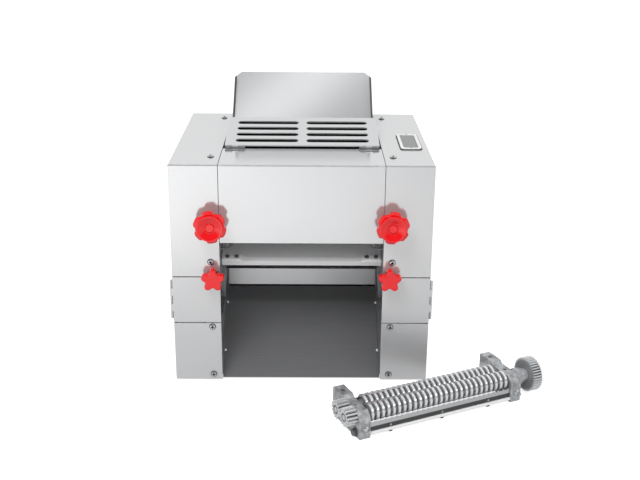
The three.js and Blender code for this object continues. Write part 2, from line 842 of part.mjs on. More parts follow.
// Sloping feed plate, drawn flat and then tilted about its lower edge
function makeFeedPlate() {
  const outline = [
    [-feedHalfWidth, 0],
    [feedHalfWidth, 0],
    [feedHalfWidth, feedLength - feedChamfer],
    [feedHalfWidth - feedChamfer, feedLength],
    [-feedHalfWidth + feedChamfer, feedLength],
    [-feedHalfWidth, feedLength - feedChamfer],
  ];
  const plate = prism(outline, 'z', [-sheet, 0]);
  const lipEnd = feedLength - feedChamfer;
  const lipOutline = [
    [feedLipStart, -sheet / 2],
    [lipEnd, -sheet / 2],
    [lipEnd - feedLipHeight, feedLipHeight],
    [feedLipStart + feedLipHeight, feedLipHeight],
  ];
  const sides = [-1, 1].flatMap((side) => [
    prism(lipOutline, 'x', onSide(side, feedHalfWidth - sheet, feedHalfWidth)),
    block(onSide(side, feedHalfWidth - sheet, inner - fitGap), [feedTabLength, 2 * feedTabLength],
      [-feedTabThick, -sheet / 2]),
    block(onSide(side, feedHalfWidth - sheet, inner - fitGap), [3 * feedTabLength, 4 * feedTabLength],
      [-feedTabThick, -sheet / 2]),
  ]);
  const mesh = add('feed_plate', join(plate, ...sides), finish.polishedSteel);
  mesh.rotation.x = feedSlope;
  mesh.position.set(0, feedLowY, feedLowZ);
}

const guardAxisY = guardFrontY - guardEdge;
const guardAxisZ = bodyTop + guardKnuckleRadius + 2 * fitGap;
const guardHingeThird = (guardHingeOuter - guardHingeInner) / 3;

// Slotted guard, drawn flat from its hinge axis and then tilted to its rest slope
function makeGuard() {
  const start = guardEdge + guardKnuckleRadius / 2;
  const end = guardEdge + guardLength;
  const slots = [];
  for (let row = 0; row < slotRows; row += 1) {
    const middle = guardEdge + slotFirst + row * slotPitch;
    for (const side of [-1, 1]) {
      const centre = [side * (slotInner + slotOuter) / 2, middle];
      slots.push(roundedBox(centre, slotOuter - slotInner, slotHeight, slotHeight / 2 - fitGap, 2));
    }
  }
  const outline = [
    [-guardHalfWidth, start],
    [guardHalfWidth, start],
    [guardHalfWidth, end],
    [-guardHalfWidth, end],
  ];
  const plate = prism(outline, 'z', [-guardSheet / 2, guardSheet / 2], slots);
  const rear = block([-guardHalfWidth, guardHalfWidth], [end - guardSheet, end], [-guardRearLip, 0]);
  const pieces = [-1, 1].flatMap((side) => {
    const span = onSide(side, guardHingeInner + guardHingeThird + fitGap,
      guardHingeOuter - guardHingeThird - fitGap);
    return [
      block(onSide(side, guardHalfWidth - guardSheet, guardHalfWidth), [guardSkirt, end], [-guardSkirt, 0]),
      rod('x', [0, 0], guardKnuckleRadius, span, hingeSides),
      block(span, [guardKnuckleRadius / 2, guardSkirt], [-guardSheet / 2, guardSheet / 2]),
    ];
  });
  const bores = [-1, 1].map((side) => rod('x', [0, 0], boreFor(pinRadius, runGap, hingeSides),
    onSide(side, guardHingeInner, guardHingeOuter), hingeSides));
  const mesh = add('guard', cut(join(plate, rear, ...pieces), ...bores), finish.polishedSteel);
  mesh.rotation.x = guardSlope;
  mesh.position.set(0, guardAxisY, guardAxisZ);
}

// Fixed half of a guard hinge, with its two outer knuckles and the pin
function makeGuardHinge(hand, side) {
  const centre = [guardAxisY, guardAxisZ];
  const whole = onSide(side, guardHingeInner, guardHingeOuter);
  const leafTop = bodyTop + fitGap + doorLeafSheet;
  const leaf = block(whole, [guardAxisY - guardLeafReach, guardAxisY], [bodyTop + fitGap, leafTop]);
  const ends = [
    onSide(side, guardHingeInner, guardHingeInner + guardHingeThird),
    onSide(side, guardHingeOuter - guardHingeThird, guardHingeOuter),
  ];
  const middle = onSide(side, guardHingeInner + guardHingeThird, guardHingeOuter - guardHingeThird);
  const relief = rod('x', centre, boreFor(guardKnuckleRadius, fitGap, hingeSides), middle, hingeSides);
  const knuckles = ends.map((span) => rod('x', centre, guardKnuckleRadius, span, hingeSides));
  const pin = rod('x', centre, pinRadius, whole, hingeSides);
  add(`${hand}_guard_hinge`, join(cut(leaf, relief), ...knuckles, pin), finish.brightSteel);
}

function makeSwitch() {
  const rimTop = bodyTop + fitGap + switchRise;
  const centre = [switchX, switchY];
  const windowWidth = switchWidth - 2 * switchRim;
  const windowLength = switchLength - 2 * switchRim;
  const rimOutline = roundedBox(centre, switchWidth, switchLength, switchCorner);
  const rim = prism(rimOutline, 'z', [bodyTop + fitGap, rimTop]);
  const housing = block(
    [switchX - switchBodyWidth / 2, switchX + switchBodyWidth / 2],
    [switchY - switchBodyLength / 2, switchY + switchBodyLength / 2],
    [bodyTop - switchBodyDepth, bodyTop + 2 * fitGap],
  );
  const seatTop = bodyTop + 2 * fitGap;
  const windowCorner = switchCorner - switchRim / 2;
  const windowOutline = roundedBox(centre, windowWidth, windowLength, windowCorner);
  const window = prism(windowOutline, 'z', [seatTop, rimTop + overrun]);
  const wells = [];
  const buttons = [['start_button', 1, finish.greenPlastic], ['stop_button', -1, finish.redPlastic]];
  for (const [name, place, look] of buttons) {
    const middle = switchY + place * buttonOffset;
    const top = seatTop - fitGap;
    wells.push(block(
      [switchX - buttonWidth / 2 - fitGap, switchX + buttonWidth / 2 + fitGap],
      [middle - buttonLength / 2 - fitGap, middle + buttonLength / 2 + fitGap],
      [top - buttonHeight - buttonTravel - fitGap, seatTop + overrun],
    ));
    const button = prism(
      roundedBox([switchX, middle], buttonWidth, buttonLength, buttonWidth * buttonCornerShare),
      'z', [top - buttonHeight, top]);
    add(name, button, look);
  }
  add('switch_frame', cut(join(rim, housing), window, ...wells), finish.whitePlastic);
  const membrane = prism(
    roundedBox(centre, windowWidth - 2 * fitGap, windowLength - 2 * fitGap, windowCorner),
    'z', [seatTop + fitGap, seatTop + fitGap + membraneThick]);
  add('switch_membrane', membrane, finish.greyMembrane);
}

function makePowerInlet() {
  const span = (size) => [inletX - size / 2, inletX + size / 2];
  const rise = (size) => [inletZ - size / 2, inletZ + size / 2];
  const faceY = backY + fitGap + inletFlangeThick;
  const body = block(span(inletWidth), [backY - inletDepth, faceY], rise(inletHeight));
  const flange = block(span(inletFlangeWidth), [backY + fitGap, faceY], rise(inletFlangeHeight));
  const recessFloor = backY - inletDepth + inletFloor;
  const recess = block(
    span(inletWidth - 2 * inletWall), [recessFloor, faceY + overrun], rise(inletHeight - 2 * inletWall));
  const pins = [-1, 0, 1].map((place) => {
    const middle = inletX + place * inletPinPitch;
    return block([middle - inletPinWidth / 2, middle + inletPinWidth / 2],
      [recessFloor - overrun, recessFloor + inletPinLength], rise(inletPinHeight));
  });
  add('power_inlet', join(cut(join(body, flange), recess), ...pins), finish.blackPlastic);
}

function makeChute() {
  const half = inner - fitGap;
  const floorPath = [[chuteFrontY, chuteFrontZ], [chuteRearY, chuteRearZ]];
  const floor = prism(bent(floorPath, -sheet), 'x', [-half, half]);
  const lipTop = chuteLip / Math.cos(chuteSlope);
  const outline = [
    [chuteFrontY, chuteFrontZ],
    [chuteRearY, chuteRearZ],
    [chuteRearY, chuteRearZ + lipTop],
    [chuteFrontY + chuteLip / 2, chuteFrontZ + chuteLip / 2 * Math.tan(chuteSlope) + lipTop],
    [chuteFrontY, chuteFrontZ + lipTop / 2],
  ].map(([u, v]) => [u, v - sheet / 2]);
  const lips = [-1, 1].map((side) => prism(outline, 'x', onSide(side, half - sheet, half)));
  add('chute', join(floor, ...lips), finish.darkSteel);
  const barPath = [
    [outletBarY + outletBarReturn, outletBarLow],
    [outletBarY, outletBarLow],
    [outletBarY, outletBarHigh],
    [outletBarY + outletBarReturn, outletBarHigh],
  ];
  add('outlet_bar', prism(bent(barPath, -sheet), 'x', [-half, half]), finish.brushedSteel);
}

// Local place on the scraper plate, along it and above it, in the machine's y and z
function onScraper(along, above) {
  return [
    scraperY + along * Math.cos(scraperSlope) - above * Math.sin(scraperSlope),
    scraperZ + along * Math.sin(scraperSlope) + above * Math.cos(scraperSlope),
  ];
}

// Scraper plate that lies under the front roller and turns on a stub at each end
function makeScraper() {
  const plate = block([-scraperHalf, scraperHalf], [0, scraperLength], [-scraperSheet, 0]);
  const lip = block([-scraperHalf, scraperHalf], [0, scraperSheet], [-scraperLip, 0]);
  const ends = [-1, 1].flatMap((side) => [
    block(onSide(side, scraperHalf - bracketLength, scraperHalf),
      [scraperSheet, scraperSheet + bracketDepth], [-scraperSheet / 2, bracketThick]),
    rod('x', [pivotInset, -pivotDrop], pivotRadius,
      onSide(side, scraperHalf - bracketLength, inner + pivotDepth), smallSides),
    block(onSide(side, scraperHalf - bracketLength, scraperHalf),
      [scraperSheet / 2, pivotInset], [-pivotDrop, -scraperSheet / 2]),
    block(onSide(side, lugX - lugWidth / 2, lugX + lugWidth / 2),
      [lugAlong, lugAlong + lugLength], [-scraperSheet / 2, lugRise]),
  ]);
  const mesh = add('scraper', join(plate, lip, ...ends), finish.brushedSteel);
  mesh.rotation.x = scraperSlope;
  mesh.position.set(0, scraperY, scraperZ);
}

// Coiled tension spring, one unbroken wire whose ends run straight into their seats
function makeScraperSpring(hand, side) {
  const lugFace = lugX + lugWidth / 2;
  const [lugY, lugZ] = onScraper(lugAlong + lugLength / 2, lugRise - springLugDrop);
  const inside = new THREE.Vector3(lugFace + fitGap + springWire, lugY, lugZ);
  const outside = new THREE.Vector3(inner - postReach / 2, postY, postZ);
  const axis = outside.clone().sub(inside).normalize();
  const crossing = Math.hypot(axis.y, axis.z);
  const length = outside.distanceTo(inside) - (postRadius + fitGap + springWire) / crossing;
  const lead = 2 * springWire;
  const coilFrom = lead + springRadius;
  const coilLength = length - 2 * coilFrom;
  const across = new THREE.Vector3(0, 0, 1).cross(axis).normalize();
  const upward = axis.clone().cross(across);
  const path = [];
  const at = (distance, reach, angle) => inside.clone()
    .addScaledVector(axis, distance)
    .addScaledVector(across, reach * Math.cos(angle))
    .addScaledVector(upward, reach * Math.sin(angle));
  path.push(at(0, 0, 0), at(lead, 0, 0));
  const steps = springCurls * curlSteps;
  for (let i = 0; i <= steps; i += 1) {
    path.push(at(coilFrom + coilLength * i / steps, springRadius, 2 * Math.PI * i / curlSteps));
  }
  path.push(at(length - lead, 0, 0), at(length, 0, 0));
  const pitch = coilLength / springCurls;
  console.log(`${hand} scraper spring: least gap between curls ${(pitch - 2 * springWire).toFixed(2)} mm`);
  const mirrored = path.map((point) => new THREE.Vector3(side * point.x, point.y, point.z));
  add(`${hand}_scraper_spring`, wireTube(mirrored), finish.brightSteel);
}

// Closed tube of few sides that follows points, with a mitred ring at each
function wireTube(points) {
  const position = [];
  const index = [];
  const up = new THREE.Vector3();
  let reference = null;
  points.forEach((point, i) => {
    const before = points[Math.max(i - 1, 0)];
    const after = points[Math.min(i + 1, points.length - 1)];
    const tangent = after.clone().sub(before).normalize();
    if (reference === null) reference = new THREE.Vector3(0, 0, 1).cross(tangent).normalize();
    const side = reference.clone().addScaledVector(tangent, -reference.dot(tangent)).normalize();
    reference = side;
    up.crossVectors(tangent, side);
    for (let k = 0; k < wireSides; k += 1) {
      const angle = 2 * Math.PI * k / wireSides;
      const corner = point.clone()
        .addScaledVector(side, springWire * Math.cos(angle))
        .addScaledVector(up, springWire * Math.sin(angle));
      position.push(corner.x, corner.y, corner.z);
    }
  });
  for (let i = 0; i < points.length - 1; i += 1) {
    for (let k = 0; k < wireSides; k += 1) {
      const next = (k + 1) % wireSides;
      const [a, b] = [i * wireSides + k, i * wireSides + next];
      const [c, d] = [a + wireSides, b + wireSides];
      index.push(a, b, d, a, d, c);
    }
  }
  const last = (points.length - 1) * wireSides;
  for (let k = 1; k < wireSides - 1; k += 1) {
    index.push(0, k + 1, k, last, last + k, last + k + 1);
  }
  const geometry = new THREE.BufferGeometry();
  geometry.setAttribute('position', new THREE.Float32BufferAttribute(position, 3));
  geometry.setIndex(index);
  return geometry;
}

const rollerHalf = inner - rollerEndGap;

function rollerProfile(left, right) {
  return [
    [0, left],
    [journalRadius, left],
    [journalRadius, -rollerHalf],
    [rollerRadius, -rollerHalf],
    [rollerRadius, rollerHalf],
    [journalRadius, rollerHalf],
    [journalRadius, right],
    [0, right],
  ];
}

function makeRollers() {
  const frontCentre = [frontRollerY, rollerHeight];
  const rearCentre = [rearRollerY, rollerHeight];
  const gearSpan = [-gearEnd, -gearStart];
  const bore = boreFor(journalRadius, runGap, smallSides);
  const halfTooth = Math.PI / rollerGearTeeth;
  const shaftEnd = gearEnd + pulleyGap / 2;
  const frontEnd = inner + blockReach + framePlate;
  add('front_roller', turned('x', frontCentre, rollerProfile(-shaftEnd, frontEnd)), finish.brightSteel);
  add('rear_roller', turned('x', rearCentre, rollerProfile(-shaftEnd, shaftEnd)), finish.brightSteel);
  add('front_roller_gear',
    spurGear(rollerGearTeeth, rollerGearModule, halfTooth, frontCentre, gearSpan, bore), finish.castSteel);
  add('rear_roller_gear',
    spurGear(rollerGearTeeth, rollerGearModule, Math.PI, rearCentre, gearSpan, bore), finish.castSteel);
  const mainGear = spurGear(mainGearTeeth, driveModule, driveAngle, rearCentre, [gearStart, gearEnd], bore);
  add('main_drive_gear', mainGear, finish.castSteel);
}

// Sliding bearing block with a collar that keeps it in its window
function makeBearingBlock(hand, side) {
  const inside = inner + fitGap;
  const outside = inner + framePlate + blockReach;
  const faceY = frontRollerY - blockFront;
  const core = block(onSide(side, inside, outside), [faceY, frontRollerY + blockRear],
    [rollerHeight - blockHalfHeight, rollerHeight + blockHalfHeight]);
  const collar = block(onSide(side, frameOuter + fitGap, frameOuter + fitGap + blockCollar),
    [faceY, frontRollerY + blockRear],
    [rollerHeight - blockHalfHeight - blockCollarRise, rollerHeight + blockHalfHeight + blockCollarRise]);
  const bore = rod('x', [frontRollerY, rollerHeight], boreFor(journalRadius, runGap),
    onSide(side, inner - overrun, outside + overrun));
  const screwBore = rod('y', [side * screwX, rollerHeight], boreFor(screwRadius, runGap, smallSides),
    [faceY - overrun, faceY + screwEngaged + screwBoreExtra], smallSides);
  add(`${hand}_bearing_block`, cut(join(core, collar), bore, screwBore), finish.castSteel);
}

// Lobed knob with a proud dished disc on its face, its neck and its screw in one piece
function makeAdjustingKnob(hand, side) {
  const centre = [side * screwX, rollerHeight];
  const rear = frontY - knobStandOff;
  const front = rear - knobThick;
  const flangeFace = front + knobDiscRise;
  const outline = lobed(centre, knobRadius, knobLobes, knobLobeDepth, knobLobeSteps, knobNotchPower);
  const grip = prism(outline, 'y', [flangeFace, rear]);
  const disc = turned('y', centre, [
    [0, front],
    [knobDiscRadius - knobDiscEdge, front],
    [knobDiscRadius, front + knobDiscEdge],
    [knobDiscRadius, flangeFace + overrun],
    [0, flangeFace + overrun],
  ]);
  const dishRadius = knobDiscRadius - knobRim;
  const dish = turned('y', centre, [
    [0, front - overrun],
    [dishRadius, front - overrun],
    [dishRadius, front],
    [knobBossRadius, front + knobDishDepth],
    [0, front + knobDishDepth],
  ]);
  const boss = turned('y', centre, [
    [0, front + knobDishDepth / 2],
    [knobBossRadius, front + knobDishDepth / 2],
    [knobBossRadius, front + 2 * knobDishDepth],
    [0, front + 2 * knobDishDepth],
  ], smallSides);
  const neck = turned('y', centre, [
    [0, rear - overrun],
    [knobNeckTop, rear - overrun],
    [knobNeckTop, rear + overrun],
    [knobNeckRadius, rear + knobStandOff / 2],
    [knobNeckRadius, frontY - fitGap],
    [0, frontY - fitGap],
  ], smallSides);
  const screwSpan = [frontY - overrun, frontRollerY - blockFront + screwEngaged];
  const screw = rod('y', centre, screwRadius, screwSpan, smallSides);
  const head = cut(join(grip, disc), dish);
  add(`${hand}_adjusting_knob`, join(head, boss, neck, screw), finish.redPlastic);
}

// Star knob on its captive washer, at the seam between the door and the upper panel
function makeStarKnob(hand, side) {
  const centre = [side * starX, starZ];
  const washerBack = frontY - fitGap;
  const washerFront = washerBack - washerThick;
  const bore = boreFor(starScrewRadius, fitGap, smallSides);
  const rim = circle(centre, washerRadius, smallSides);
  const washer = prism(rim, 'y', [washerFront, washerBack], [circle(centre, bore, smallSides)]);
  add(`${hand}_star_washer`, washer, finish.brightSteel);
  const rear = frontY - starStandOff;
  const front = rear - starThick;
  const grip = prism(lobed(centre, starRadius, starLobes, starLobeDepth, starLobeSteps), 'y', [front, rear]);
  const neck = rod('y', centre, starNeckRadius, [rear - overrun, washerFront - fitGap]);
  const screw = rod('y', centre, starScrewRadius,
    [washerFront - overrun, frameFront + starScrewDepth], smallSides);
  add(`${hand}_star_knob`, join(grip, neck, screw), finish.redPlastic);
}

// Grooved pulley on the x axis, with a shaft bore or, for none, a solid centre
function pulleyProfile(radius, from) {
  const floor = radius - grooveDepth;
  const to = from + pulleyWidth;
  return [
    [0, from],
    [radius, from],
    [radius, from + pulleyFlange],
    [floor, from + pulleyFlange],
    [floor, to - pulleyFlange],
    [radius, to - pulleyFlange],
    [radius, to],
    [0, to],
  ];
}

function makeDrive() {
  const idler = [idlerY, idlerZ];
  const motorCentre = [motorY, motorZ];
  const meshPhase = driveAngle + Math.PI + Math.PI / pinionTeeth;
  const bearing = inner + sheet;
  const pinion = prism(gearOutline(pinionTeeth, driveModule, meshPhase, idler), 'x', [gearStart, gearEnd]);
  const shaft = rod('x', idler, shaftRadius, [bearing, pulleyStart + pulleyWidth + pulleyGap / 2]);
  add('intermediate_shaft', join(shaft, pinion), finish.castSteel);
  const pulley = turned('x', idler, pulleyProfile(largePulleyRadius, pulleyStart));
  const pulleyBore = rod('x', idler, boreFor(shaftRadius, runGap, smallSides),
    [pulleyStart - overrun, pulleyStart + pulleyWidth + overrun], smallSides);
  add('large_pulley', cut(pulley, pulleyBore), finish.castSteel);
  const motorFace = inner - framePlate;
  const rotor = join(
    turned('x', motorCentre, pulleyProfile(motorPulleyRadius, pulleyStart), smallSides),
    rod('x', motorCentre, motorShaftRadius, [motorFace + fitGap, pulleyStart + overrun]),
  );
  add('motor_pulley', rotor, finish.castSteel);
  makeBelt(idler, motorCentre);
  makeMotor(motorFace, motorCentre);
}

// Open loop round two circles, as the two arcs between their outer tangents
function loopAround([y0, z0], r0, [y1, z1], r1) {
  const heading = Math.atan2(z1 - z0, y1 - y0);
  const spread = Math.acos((r0 - r1) / Math.hypot(y1 - y0, z1 - z0));
  return [
    ...arc([y0, z0], r0, heading + spread, heading + 2 * Math.PI - spread, smallSides),
    ...arc([y1, z1], r1, heading - spread, heading + spread, hingeSides),
  ];
}

function makeBelt(idler, motorCentre) {
  const innerLoop = loopAround(idler, largePulleyRadius - grooveDepth + beltLift,
    motorCentre, motorPulleyRadius - grooveDepth + beltLift);
  const outerLoop = loopAround(idler, largePulleyRadius - grooveDepth + beltLift + beltThick,
    motorCentre, motorPulleyRadius - grooveDepth + beltLift + beltThick);
  const from = pulleyStart + pulleyFlange + beltSideGap;
  const to = pulleyStart + pulleyWidth - pulleyFlange - beltSideGap;
  add('drive_belt', prism(outerLoop, 'x', [from, to], [innerLoop]), finish.blackRubber);
}

// Ribbed motor with plain end bells, standing on two feet
function makeMotor(face, centre) {
  const motorLength = face + inner - motorEndRoom;
  const start = face - motorLength;
  const barrel = prism(ribbedOutline(centre), 'x', [start + motorEndBell, face - motorEndBell]);
  const bells = turned('x', centre, [
    [0, start],
    [motorRadius / 2, start],
    [motorRadius - ribHeight, start + motorEndBell / 2],
    [motorRadius - ribHeight, face - motorEndBell / 2],
    [motorRadius / 2, face],
    [0, face],
  ], smallSides);
  const middle = face - motorLength / 2;
  const feet = [-1, 1].map((side) => {
    const place = middle + side * motorLength / 4;
    return block([place - motorFootWidth / 2, place + motorFootWidth / 2],
      [centre[0] - motorFootLength / 2, centre[0] + motorFootLength / 2],
      [frameBase, centre[1] - motorRadius / 2]);
  });
  add('motor', join(bells, barrel, ...feet), finish.motorPaint);
}

// Outline of the motor's barrel, where each cooling rib has a crest and a valley
function ribbedOutline([u, v]) {
  const points = [];
  const step = 2 * Math.PI / motorRibs;
  for (let i = 0; i < motorRibs; i += 1) {
    ribShares.forEach((share, place) => {
      const radius = place < ribShares.length / 2 ? motorRadius : motorRadius - ribHeight;
      const angle = (i + share) * step;
      points.push([u + radius * Math.cos(angle), v + radius * Math.sin(angle)]);
    });
  }
  return points;
}

// The cutter, built along its own x axis from the outer face of its left block
function makeCutter() {
  const cutter = new THREE.Group();
  cutter.position.set(cutterX, cutterY, -footHeight);
  cutter.rotation.z = cutterTurn;
  machine.add(cutter);
  const front = [cutterAxisFront, cutterAxisHeight];
  const rear = [cutterAxisFront + cutterCentres, cutterAxisHeight];
  const innerFrom = cutterBlock;
  const innerTo = cutterSpan - cutterBlock;
  makeCutterBlock('cutter_left_block', [0, cutterBlock], front, rear, cutter);
  makeCutterBlock('cutter_right_block', [innerTo, cutterSpan], front, rear, cutter);
  const middle = cutterSpan / 2;
  const gearFrom = cutterSpan + cutterGearStart;
  const left = -fitGap - cutterPinionFace;
  add('cutter_front_roller', turned('x', front,
    ringedProfile(middle, 0, left, gearFrom + cutterGearFace), ringSides), finish.brightSteel, cutter);
  add('cutter_rear_roller', turned('x', rear,
    ringedProfile(middle + ringPitch / 2, 1, left, cutterSpan), ringSides), finish.brightSteel, cutter);
  const pinionSpan = [left, -fitGap];
  const bore = boreFor(cutterJournal, fitGap, smallSides);
  const halfTooth = Math.PI / cutterPinionTeeth;
  const frontPinion = spurGear(cutterPinionTeeth, cutterModule, 0, front, pinionSpan, bore);
  const rearPinion = spurGear(cutterPinionTeeth, cutterModule, Math.PI + halfTooth, rear, pinionSpan, bore);
  const gearSpan = [gearFrom, gearFrom + cutterGearFace];
  const hubSpan = [gearFrom - cutterHubLength, gearFrom + overrun];
  const hub = prism(circle(front, cutterHubRadius, smallSides), 'x', hubSpan,
    [circle(front, bore, smallSides)]);
  const driveGear = join(spurGear(cutterGearTeeth, cutterGearModule, 0, front, gearSpan, bore), hub);
  add('cutter_front_pinion', frontPinion, finish.castSteel, cutter);
  add('cutter_rear_pinion', rearPinion, finish.castSteel, cutter);
  add('cutter_drive_gear', driveGear, finish.castSteel, cutter);
  makeCombBar([innerFrom + fitGap, innerTo - fitGap], middle, cutter);
}

// Side profile of a block: a raised pad at the back and a sloping nose at the front
function makeCutterBlock(name, span, front, rear, cutter) {
  const padStart = cutterDepth - cutterPad;
  const outline = [
    [0, 0],
    [cutterDepth, 0],
    [cutterDepth, cutterHeight],
    [padStart, cutterHeight],
    [padStart - cutterStep, cutterHeight - cutterStep],
    [cutterNose, cutterHeight - cutterStep],
    [cutterNose * noseTopShare, cutterHeight - cutterStep - cutterNose / 2],
    [0, cutterNoseRise],
  ];
  const middle = (span[0] + span[1]) / 2;
  const bore = boreFor(cutterJournal, fitGap);
  const boreSpan = [span[0] - overrun, span[1] + cutterBossLength + overrun];
  const holes = [
    rod('x', front, bore, boreSpan),
    rod('x', rear, bore, [span[0] - overrun, span[1] + overrun]),
    rod('z', [middle, cutterRearHole], cutterHoleRadius,
      [cutterHeight - cutterHoleDepth, cutterHeight + overrun], smallSides),
    rod('z', [middle, cutterAxisFront + cutterCentres / 2], cutterOilRadius,
      [cutterHeight - cutterStep - cutterOilDepth, cutterHeight + overrun], hingeSides),
  ];
  let solid = prism(outline, 'x', span);
  if (span[0] > 0) {
    solid = join(solid, rod('x', front, cutterBossRadius, [span[1] - overrun, span[1] + cutterBossLength]));
  }
  add(name, cut(solid, ...holes), finish.castSteel, cutter);
}

// Profile with rings on a thinner core; the end rings of the two rollers interleave
function ringedProfile(middle, fewer, from, to) {
  const count = ringCount - fewer;
  const firstRing = middle - fewer * ringPitch / 2 - (count - 1) * ringPitch / 2;
  const profile = [[0, from], [cutterJournal, from]];
  const coreFrom = cutterBlock + fitGap * 2;
  const coreTo = cutterSpan - cutterBlock - fitGap * 2;
  profile.push([cutterJournal, coreFrom], [coreRadius, coreFrom]);
  for (let i = 0; i < count; i += 1) {
    const low = firstRing + i * ringPitch - ringWidth / 2;
    profile.push([coreRadius, low], [ringRadius, low]);
    profile.push([ringRadius, low + ringWidth], [coreRadius, low + ringWidth]);
  }
  profile.push([coreRadius, coreTo], [cutterJournal, coreTo], [cutterJournal, to], [0, to]);
  return profile;
}

// Comb that strips the strands from the front roller, on its rail, and the round tie rod
function makeCombBar([from, to], middle, cutter) {
  const first = middle - (ringCount - 1) * ringPitch / 2;
  const top = [];
  for (let i = 0; i < ringCount; i += 1) {
    const centre = first + i * ringPitch;
    top.push([centre - combSlot / 2, combHigh], [centre - combSlot / 2, combHigh - combSlotDepth]);
    top.push([centre + combSlot / 2, combHigh - combSlotDepth], [centre + combSlot / 2, combHigh]);
  }
  const inside = top.filter(([u]) => u > from && u < to);
  const outline = [[from, combLow], [to, combLow], [to, combHigh], ...inside.reverse(), [from, combHigh]];
  const comb = prism(outline, 'y', [combBack, combBack + combThick]);
  const railDepth = [combBack, combBack + combThick + combRail];
  const rail = block([from, to], railDepth, [combLow, combLow + combRailHeight]);
  add('cutter_comb_bar', join(comb, rail), finish.brushedSteel, cutter);
  add('cutter_tie_rod', rod('x', [tieRodBack, tieRodHeight - fitGap], tieRodRadius, [from, to], smallSides),
    finish.brightSteel, cutter);
}

const scraperPivot = onScraper(pivotInset, -pivotDrop);

makeBase();
makeFrontCover();
makeBackCover();
makeFeedPlate();
makeGuard();
makeSwitch();
makePowerInlet();
makeChute();
makeScraper();
makeRollers();
makeDrive();
makeCutter();
for (const [hand, side] of [['left', -1], ['right', 1]]) {
  makeFramePlate(`${hand}_frame_plate`, side);
  makeSideCover(`${hand}_side_cover`, side);
  makeColumnPanels(hand, side);
  makeDoor(hand, side);
  makeGuardHinge(hand, side);
  makeScraperSpring(hand, side);
  makeBearingBlock(hand, side);
  makeAdjustingKnob(hand, side);
  makeStarKnob(hand, side);
}

export default machine;
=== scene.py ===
import json
import math

import bpy
from mathutils import Matrix, Vector

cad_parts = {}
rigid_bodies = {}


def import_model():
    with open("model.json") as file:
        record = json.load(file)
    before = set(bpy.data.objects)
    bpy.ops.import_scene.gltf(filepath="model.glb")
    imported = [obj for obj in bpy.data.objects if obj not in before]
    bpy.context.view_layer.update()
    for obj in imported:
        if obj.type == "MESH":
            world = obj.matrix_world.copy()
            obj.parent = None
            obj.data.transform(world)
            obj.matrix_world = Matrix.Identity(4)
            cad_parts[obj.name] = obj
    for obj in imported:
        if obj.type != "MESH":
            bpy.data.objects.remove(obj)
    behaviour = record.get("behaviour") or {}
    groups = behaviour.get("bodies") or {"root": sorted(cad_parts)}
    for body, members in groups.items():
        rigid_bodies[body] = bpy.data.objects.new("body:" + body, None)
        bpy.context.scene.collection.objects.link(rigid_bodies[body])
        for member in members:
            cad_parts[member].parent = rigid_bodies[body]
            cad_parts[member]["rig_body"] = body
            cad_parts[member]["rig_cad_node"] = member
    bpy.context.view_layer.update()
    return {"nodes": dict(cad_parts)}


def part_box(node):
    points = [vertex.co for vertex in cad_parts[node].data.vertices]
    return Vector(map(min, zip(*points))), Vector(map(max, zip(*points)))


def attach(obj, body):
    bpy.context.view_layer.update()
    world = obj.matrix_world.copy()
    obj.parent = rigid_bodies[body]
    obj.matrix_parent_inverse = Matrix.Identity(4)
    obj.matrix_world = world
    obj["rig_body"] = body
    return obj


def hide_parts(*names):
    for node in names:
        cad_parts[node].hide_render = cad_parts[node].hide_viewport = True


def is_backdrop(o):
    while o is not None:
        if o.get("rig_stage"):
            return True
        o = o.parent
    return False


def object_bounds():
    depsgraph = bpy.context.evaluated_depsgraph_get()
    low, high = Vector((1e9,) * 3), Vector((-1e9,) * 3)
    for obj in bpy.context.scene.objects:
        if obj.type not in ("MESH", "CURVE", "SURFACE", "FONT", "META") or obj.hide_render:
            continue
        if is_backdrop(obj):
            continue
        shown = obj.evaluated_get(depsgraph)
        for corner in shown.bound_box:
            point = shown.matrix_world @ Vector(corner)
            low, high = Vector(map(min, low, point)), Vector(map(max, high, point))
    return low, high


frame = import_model()
nodes = frame["nodes"]


# Camera, where the photographer stood: a little to the right of the middle, above the top
# of the machine and looking down on it. The lens is a short telephoto on a full-size frame.
camera_place = (0.0098, -1.7763, 0.8218)
camera_pan = 0.0133
camera_tilt = 0.3435
camera_roll = 0.0092
sensor_mm = 36
lens_mm = 56.324

camera_data = bpy.data.cameras.new("camera")
camera_data.sensor_width = sensor_mm
camera_data.lens = lens_mm
camera = bpy.data.objects.new("camera", camera_data)
bpy.context.scene.collection.objects.link(camera)
camera.location = camera_place
facing = (
    Matrix.Rotation(-camera_pan, 3, "Z")
    @ Matrix.Rotation(math.pi / 2 - camera_tilt, 3, "X")
    @ Matrix.Rotation(camera_roll, 3, "Z")
)
camera.rotation_euler = facing.to_euler()
bpy.context.scene.camera = camera


# Studio: a pale floor and a white surround, with a grey ceiling that one soft strip of light
# crosses. Polished steel mirrors a floor whose glow is painted dimmer close to the machine and
# on its right, a painted shadow seen only in reflections, and a dim band in front above the
# camera, which draws the dark lines along the folds.
floor_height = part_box("front_left_foot")[0].z
floor_size = 14
floor_hex = "E6E6E6"
floor_glow = 0.75
floor_dim_near = 0.0
floor_near = -0.35
floor_far = -1.1
floor_left = 1.1
floor_right = 0.15
floor_side = 0.4
surround_white = 1.0
surround_light = 0.58
ceiling_hex = "A0A0A1"
ceiling_from = 0.8
ceiling_to = 0.985
strip_light = 1.8
strip_lean = 1.15
strip_place = 0.095
strip_half = 0.075
front_dim = 0.12
front_low = 0.0
front_high = 0.97
front_soft = 0.15
front_from = -0.1
front_to = -0.5
lamp_target = (0, 0, 0.2)
lamps = {
    "key_lamp": ((-0.8, -1.5, 2.4), 1.1, 1.1, 38),
    "fill_lamp": ((1.7, -1.3, 1.2), 0.9, 0.9, 4),
    "strip_lamp": ((0, -2.2, 2.4), 3.2, 0.16, 9),
}


